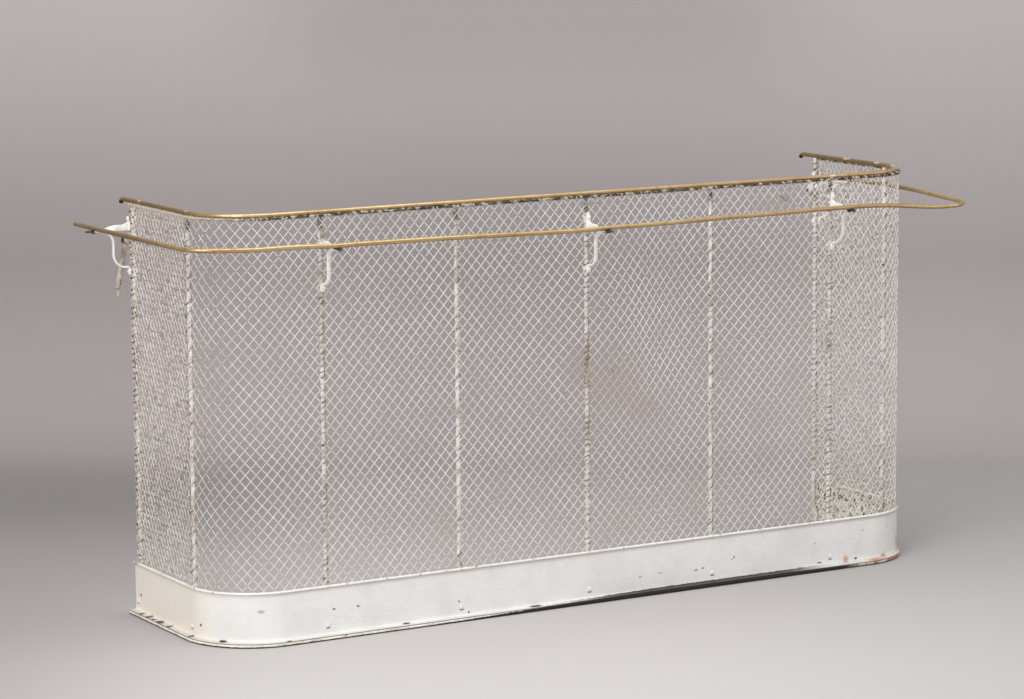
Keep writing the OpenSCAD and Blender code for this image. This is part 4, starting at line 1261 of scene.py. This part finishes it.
screw_heads = [(off_rod(number, AIR_REACH_OUT) + UP * (strap_z + lift), -UP)
               for _, number, _, _, lift in BRACKETS]
heads("rail_screw_heads", screw_heads, dark_iron, "dark_iron", "rail_screws")

# ---- Wall hooks ----
# Behind each rear rod a lug carries a pin, and on it a forged hook swings: an eye, a
# leaning shank, a collar, and a peg that drops into a screw eye in the wall.

EYE_R = 0.008
EYE_T = 0.007
EYE_ROUND = 0.0012
EYE_SIDES = 32
PIN_R = 0.0021
NECK_DOWN = 0.0062      # where the shank leaves its eye, and its radius there
NECK_R = 0.0030
NECK_GAP = 0.0002       # the neck is this much thinner than the eye on each side
SHANK_R = 0.004
SHANK_DROP = 0.070
SHANK_FRONT = 0.0035
SHANK_BACK = 0.005
SHANK_LEAN = 0.011
COLLAR_R = 0.00475
COLLAR_H = 0.0035
PEG_R = 0.0035
PEG_LEN = 0.017
PEG_ROUND = 0.003       # length of its rounded end
hook_paint, tree, paint, shader = painted(
    "cream paint on the hooks", Paint=tint(206, 198, 185), Stain=tint(124, 108, 88),
    Stain_Scale=60.0, Stain_Amount=0.9, Chip_Scale=200.0, Chip_Level=0.64, bump=0.0008)


def eye_ring(name, centre, away):
    """A flat ring about the pin, its corners rounded."""
    middle = (PIN_R + EYE_R) / 2
    outline = rounded_box(-EYE_T / 2, EYE_T / 2, PIN_R - middle, EYE_R - middle, EYE_ROUND, 3)
    points, faces = [], []
    for i, turn in enumerate(turns(EYE_SIDES)):
        radial = Vector((0, math.cos(turn), math.sin(turn)))
        points += [centre + away * a + radial * (middle + r) for a, r in outline]
        faces += faces_between(i, (i + 1) % EYE_SIDES, len(outline))
    return skin(name, points, faces)


def turned(name, start, axis, profile, flat=None):
    """A turned piece: (distance along the axis, radius) pairs from start; flat caps how
    far it reaches along x at each pair."""
    axis = axis.normalized()
    across = axis.orthogonal().normalized()
    other = axis.cross(across)
    rings = []
    for i, (d, radius) in enumerate(profile):
        ring = []
        for turn in turns(20):
            reach = (across * math.cos(turn) + other * math.sin(turn)) * radius
            if flat:
                reach.x = max(-flat[i], min(flat[i], reach.x))
            ring.append(start + axis * d + reach)
        rings.append(ring)
    return loft(name, rings)


for side, sign in (("left", -1), ("right", 1)):
    pin_lo, pin_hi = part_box(f"hook_pin_{side}")
    node_lo, node_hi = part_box(f"wall_hook_{side}")
    inner_x = node_lo.x if sign > 0 else node_hi.x
    centre = Vector((inner_x + sign * EYE_T / 2, (pin_lo.y + pin_hi.y) / 2,
                     (pin_lo.z + pin_hi.z) / 2))
    away = Vector((sign, 0, 0))
    top = centre + Vector((0, -SHANK_FRONT, 0))
    run = Vector((sign * SHANK_LEAN, SHANK_FRONT + SHANK_BACK, -SHANK_DROP))
    reach = run.length
    shank = turned("shank", top, run,
                   [(NECK_DOWN, NECK_R), (0.009, 0.0037), (0.016, SHANK_R),
                    (reach * 0.5, SHANK_R * 0.97), (reach - 0.004, SHANK_R),
                    (reach, SHANK_R * 0.9)],
                   flat=[EYE_T / 2 - NECK_GAP] * 2 + [SHANK_R] * 4)
    foot = top + run
    collar = turned("collar", foot + UP * 0.0005, -UP,
                    [(0, SHANK_R), (0.0008, COLLAR_R), (COLLAR_H, COLLAR_R),
                     (COLLAR_H + 0.0006, PEG_R)])
    peg = turned("peg", foot, -UP,
                 [(0.0, PEG_R * 0.9), (0.004, PEG_R), (PEG_LEN - PEG_ROUND, PEG_R),
                  (PEG_LEN - PEG_ROUND / 5, PEG_R * 0.8), (PEG_LEN, PEG_R * 0.4)])
    hook = joined(f"wall_hook_{side}_iron", [eye_ring("eye", centre, away), shank, collar, peg])
    fit(hook, hook_paint, "cream_paint", f"wall_hook_{side}", body=f"{side}_hook")
    for node, material in ((f"hook_lug_{side}", iron_paint), (f"hook_pin_{side}", dark_iron)):
        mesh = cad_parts[node].data
        mesh.materials.clear()
        mesh.materials.append(material)

# ---- Floor and backdrop ----
# A sheet of pale paper lies under the fender and sweeps up behind it. From behind it is
# seen through, so that the fender's back can be looked at too.

FLOOR_BACK = 1.02       # from the fender's middle to the foot of the sweep
FLOOR_MIDDLE = -0.98
FLOOR_FRONT = -7.0
SWEEP_R = 0.35
SWEEP_HALF = 7.0
SWEEP_TOP = 4.0
SWEEP_STEPS = 16


def backdrop():
    profile = [(FLOOR_FRONT, 0.0), (FLOOR_MIDDLE, 0.0), (FLOOR_BACK, 0.0)]
    bend = [math.pi / 2 * i / SWEEP_STEPS for i in range(1, SWEEP_STEPS + 1)]
    profile += [(FLOOR_BACK + SWEEP_R * math.sin(t), SWEEP_R * (1 - math.cos(t))) for t in bend]
    profile.append((FLOOR_BACK + SWEEP_R, SWEEP_TOP))
    points = [ahead * d + level * w + UP * z
              for d, z in profile for w in (-SWEEP_HALF, SWEEP_HALF)]
    faces = [(2 * i, 2 * i + 1, 2 * i + 3, 2 * i + 2) for i in range(len(profile) - 1)]
    mesh = bpy.data.meshes.new("paper_sweep")
    mesh.from_pydata([tuple(p) for p in points], [], faces)
    mesh.shade_smooth()
    return new_piece("paper_sweep", mesh)


# The paper's greys follow the picture's light: how far a place lies away from the eye, to
# the right of the fender's middle, and up.
paper, tree, shader = new_material("pale paper")
here = add(tree, "ShaderNodeTexCoord").outputs["Object"]
depth, aside = (add(tree, "ShaderNodeVectorMath", {"operation": "DOT_PRODUCT"}, i0=here,
                    i1=tuple(way)).outputs["Value"] for way in (ahead, level))
height = add(tree, "ShaderNodeSeparateXYZ", Vector=here).outputs["Z"]
from_middle = calc(tree, "ABSOLUTE", aside)
far = laid_over(tree, tint(136, 133, 132),
                (band(tree, aside, -0.8, 0.8), tint(160, 158, 157)),
                (band(tree, from_middle, 0.70, 0.30), tint(160, 156, 154)))
near_by = laid_over(tree, tint(199, 196, 195), (band(tree, aside, 0.1, 0.9), tint(188, 186, 186)))
left_dark = product(tree, band(tree, aside, -0.35, -0.95), band(tree, depth, 0.7, 0.0, 0.0, 0.62))
wall = laid_over(tree, tint(156, 149, 149), (band(tree, aside, 0.3, 0.9), tint(163, 158, 158)),
                 (band(tree, from_middle, 0.6, 0.1), tint(150, 144, 144)))
top_dark = product(tree, band(tree, from_middle, 0.75, 0.25), band(tree, height, 0.58, 0.82))
look = laid_over(tree, near_by, (band(tree, depth, -0.75, 0.72), far),
                 (left_dark, tint(146, 140, 139)), (band(tree, depth, 0.74, 1.3), wall),
                 (band(tree, height, 0.30, 0.9), tint(180, 173, 173)),
                 (top_dark, tint(163, 157, 157)))
tree.links.new(look, shader.inputs["Base Color"])
shader.inputs["Roughness"].default_value = 0.9
shader.inputs["Specular IOR Level"].default_value = 0.1
from_behind = product(tree, add(tree, "ShaderNodeNewGeometry").outputs["Backfacing"],
                      add(tree, "ShaderNodeLightPath").outputs["Is Camera Ray"])
clear = add(tree, "ShaderNodeBsdfTransparent")
seen = add(tree, "ShaderNodeMixShader", i0=from_behind, i1=shader.outputs[0],
           i2=clear.outputs[0])
tree.links.new(seen.outputs[0], tree.nodes["Material Output"].inputs["Surface"])
sweep = backdrop()
sweep.data.materials.append(paper)

# ---- Light ----
# Soft boxes: a large one in front on the left, a small one in front on the right, and one
# overhead that draws the highlight along the rails. The room adds its own even light.

SOFT_BOXES = [("left box", (-4.3, -2.7, 2.5), 2.6, 172.0),
              ("overhead box", (0.0, -0.6, 3.2), 3.0, 64.0),
              ("right box", (4.2, -2.6, 1.8), 2.0, 36.0)]
ROOM_LIGHT = 0.45

for name, place, size, power in SOFT_BOXES:
    lamp = bpy.data.objects.new(name, bpy.data.lights.new(name, "AREA"))
    lamp.data.size = size
    lamp.data.energy = power
    lamp.location = place
    aim = Vector((0, 0, 0.3)) - Vector(place)
    lamp.rotation_euler = aim.to_track_quat("-Z", "Y").to_euler()
    scene.collection.objects.link(lamp)
world = bpy.data.worlds.new("room")
world.use_nodes = True
world.node_tree.nodes["Background"].inputs["Color"].default_value = (1.0, 0.99, 0.98, 1.0)
world.node_tree.nodes["Background"].inputs["Strength"].default_value = ROOM_LIGHT
scene.world = world
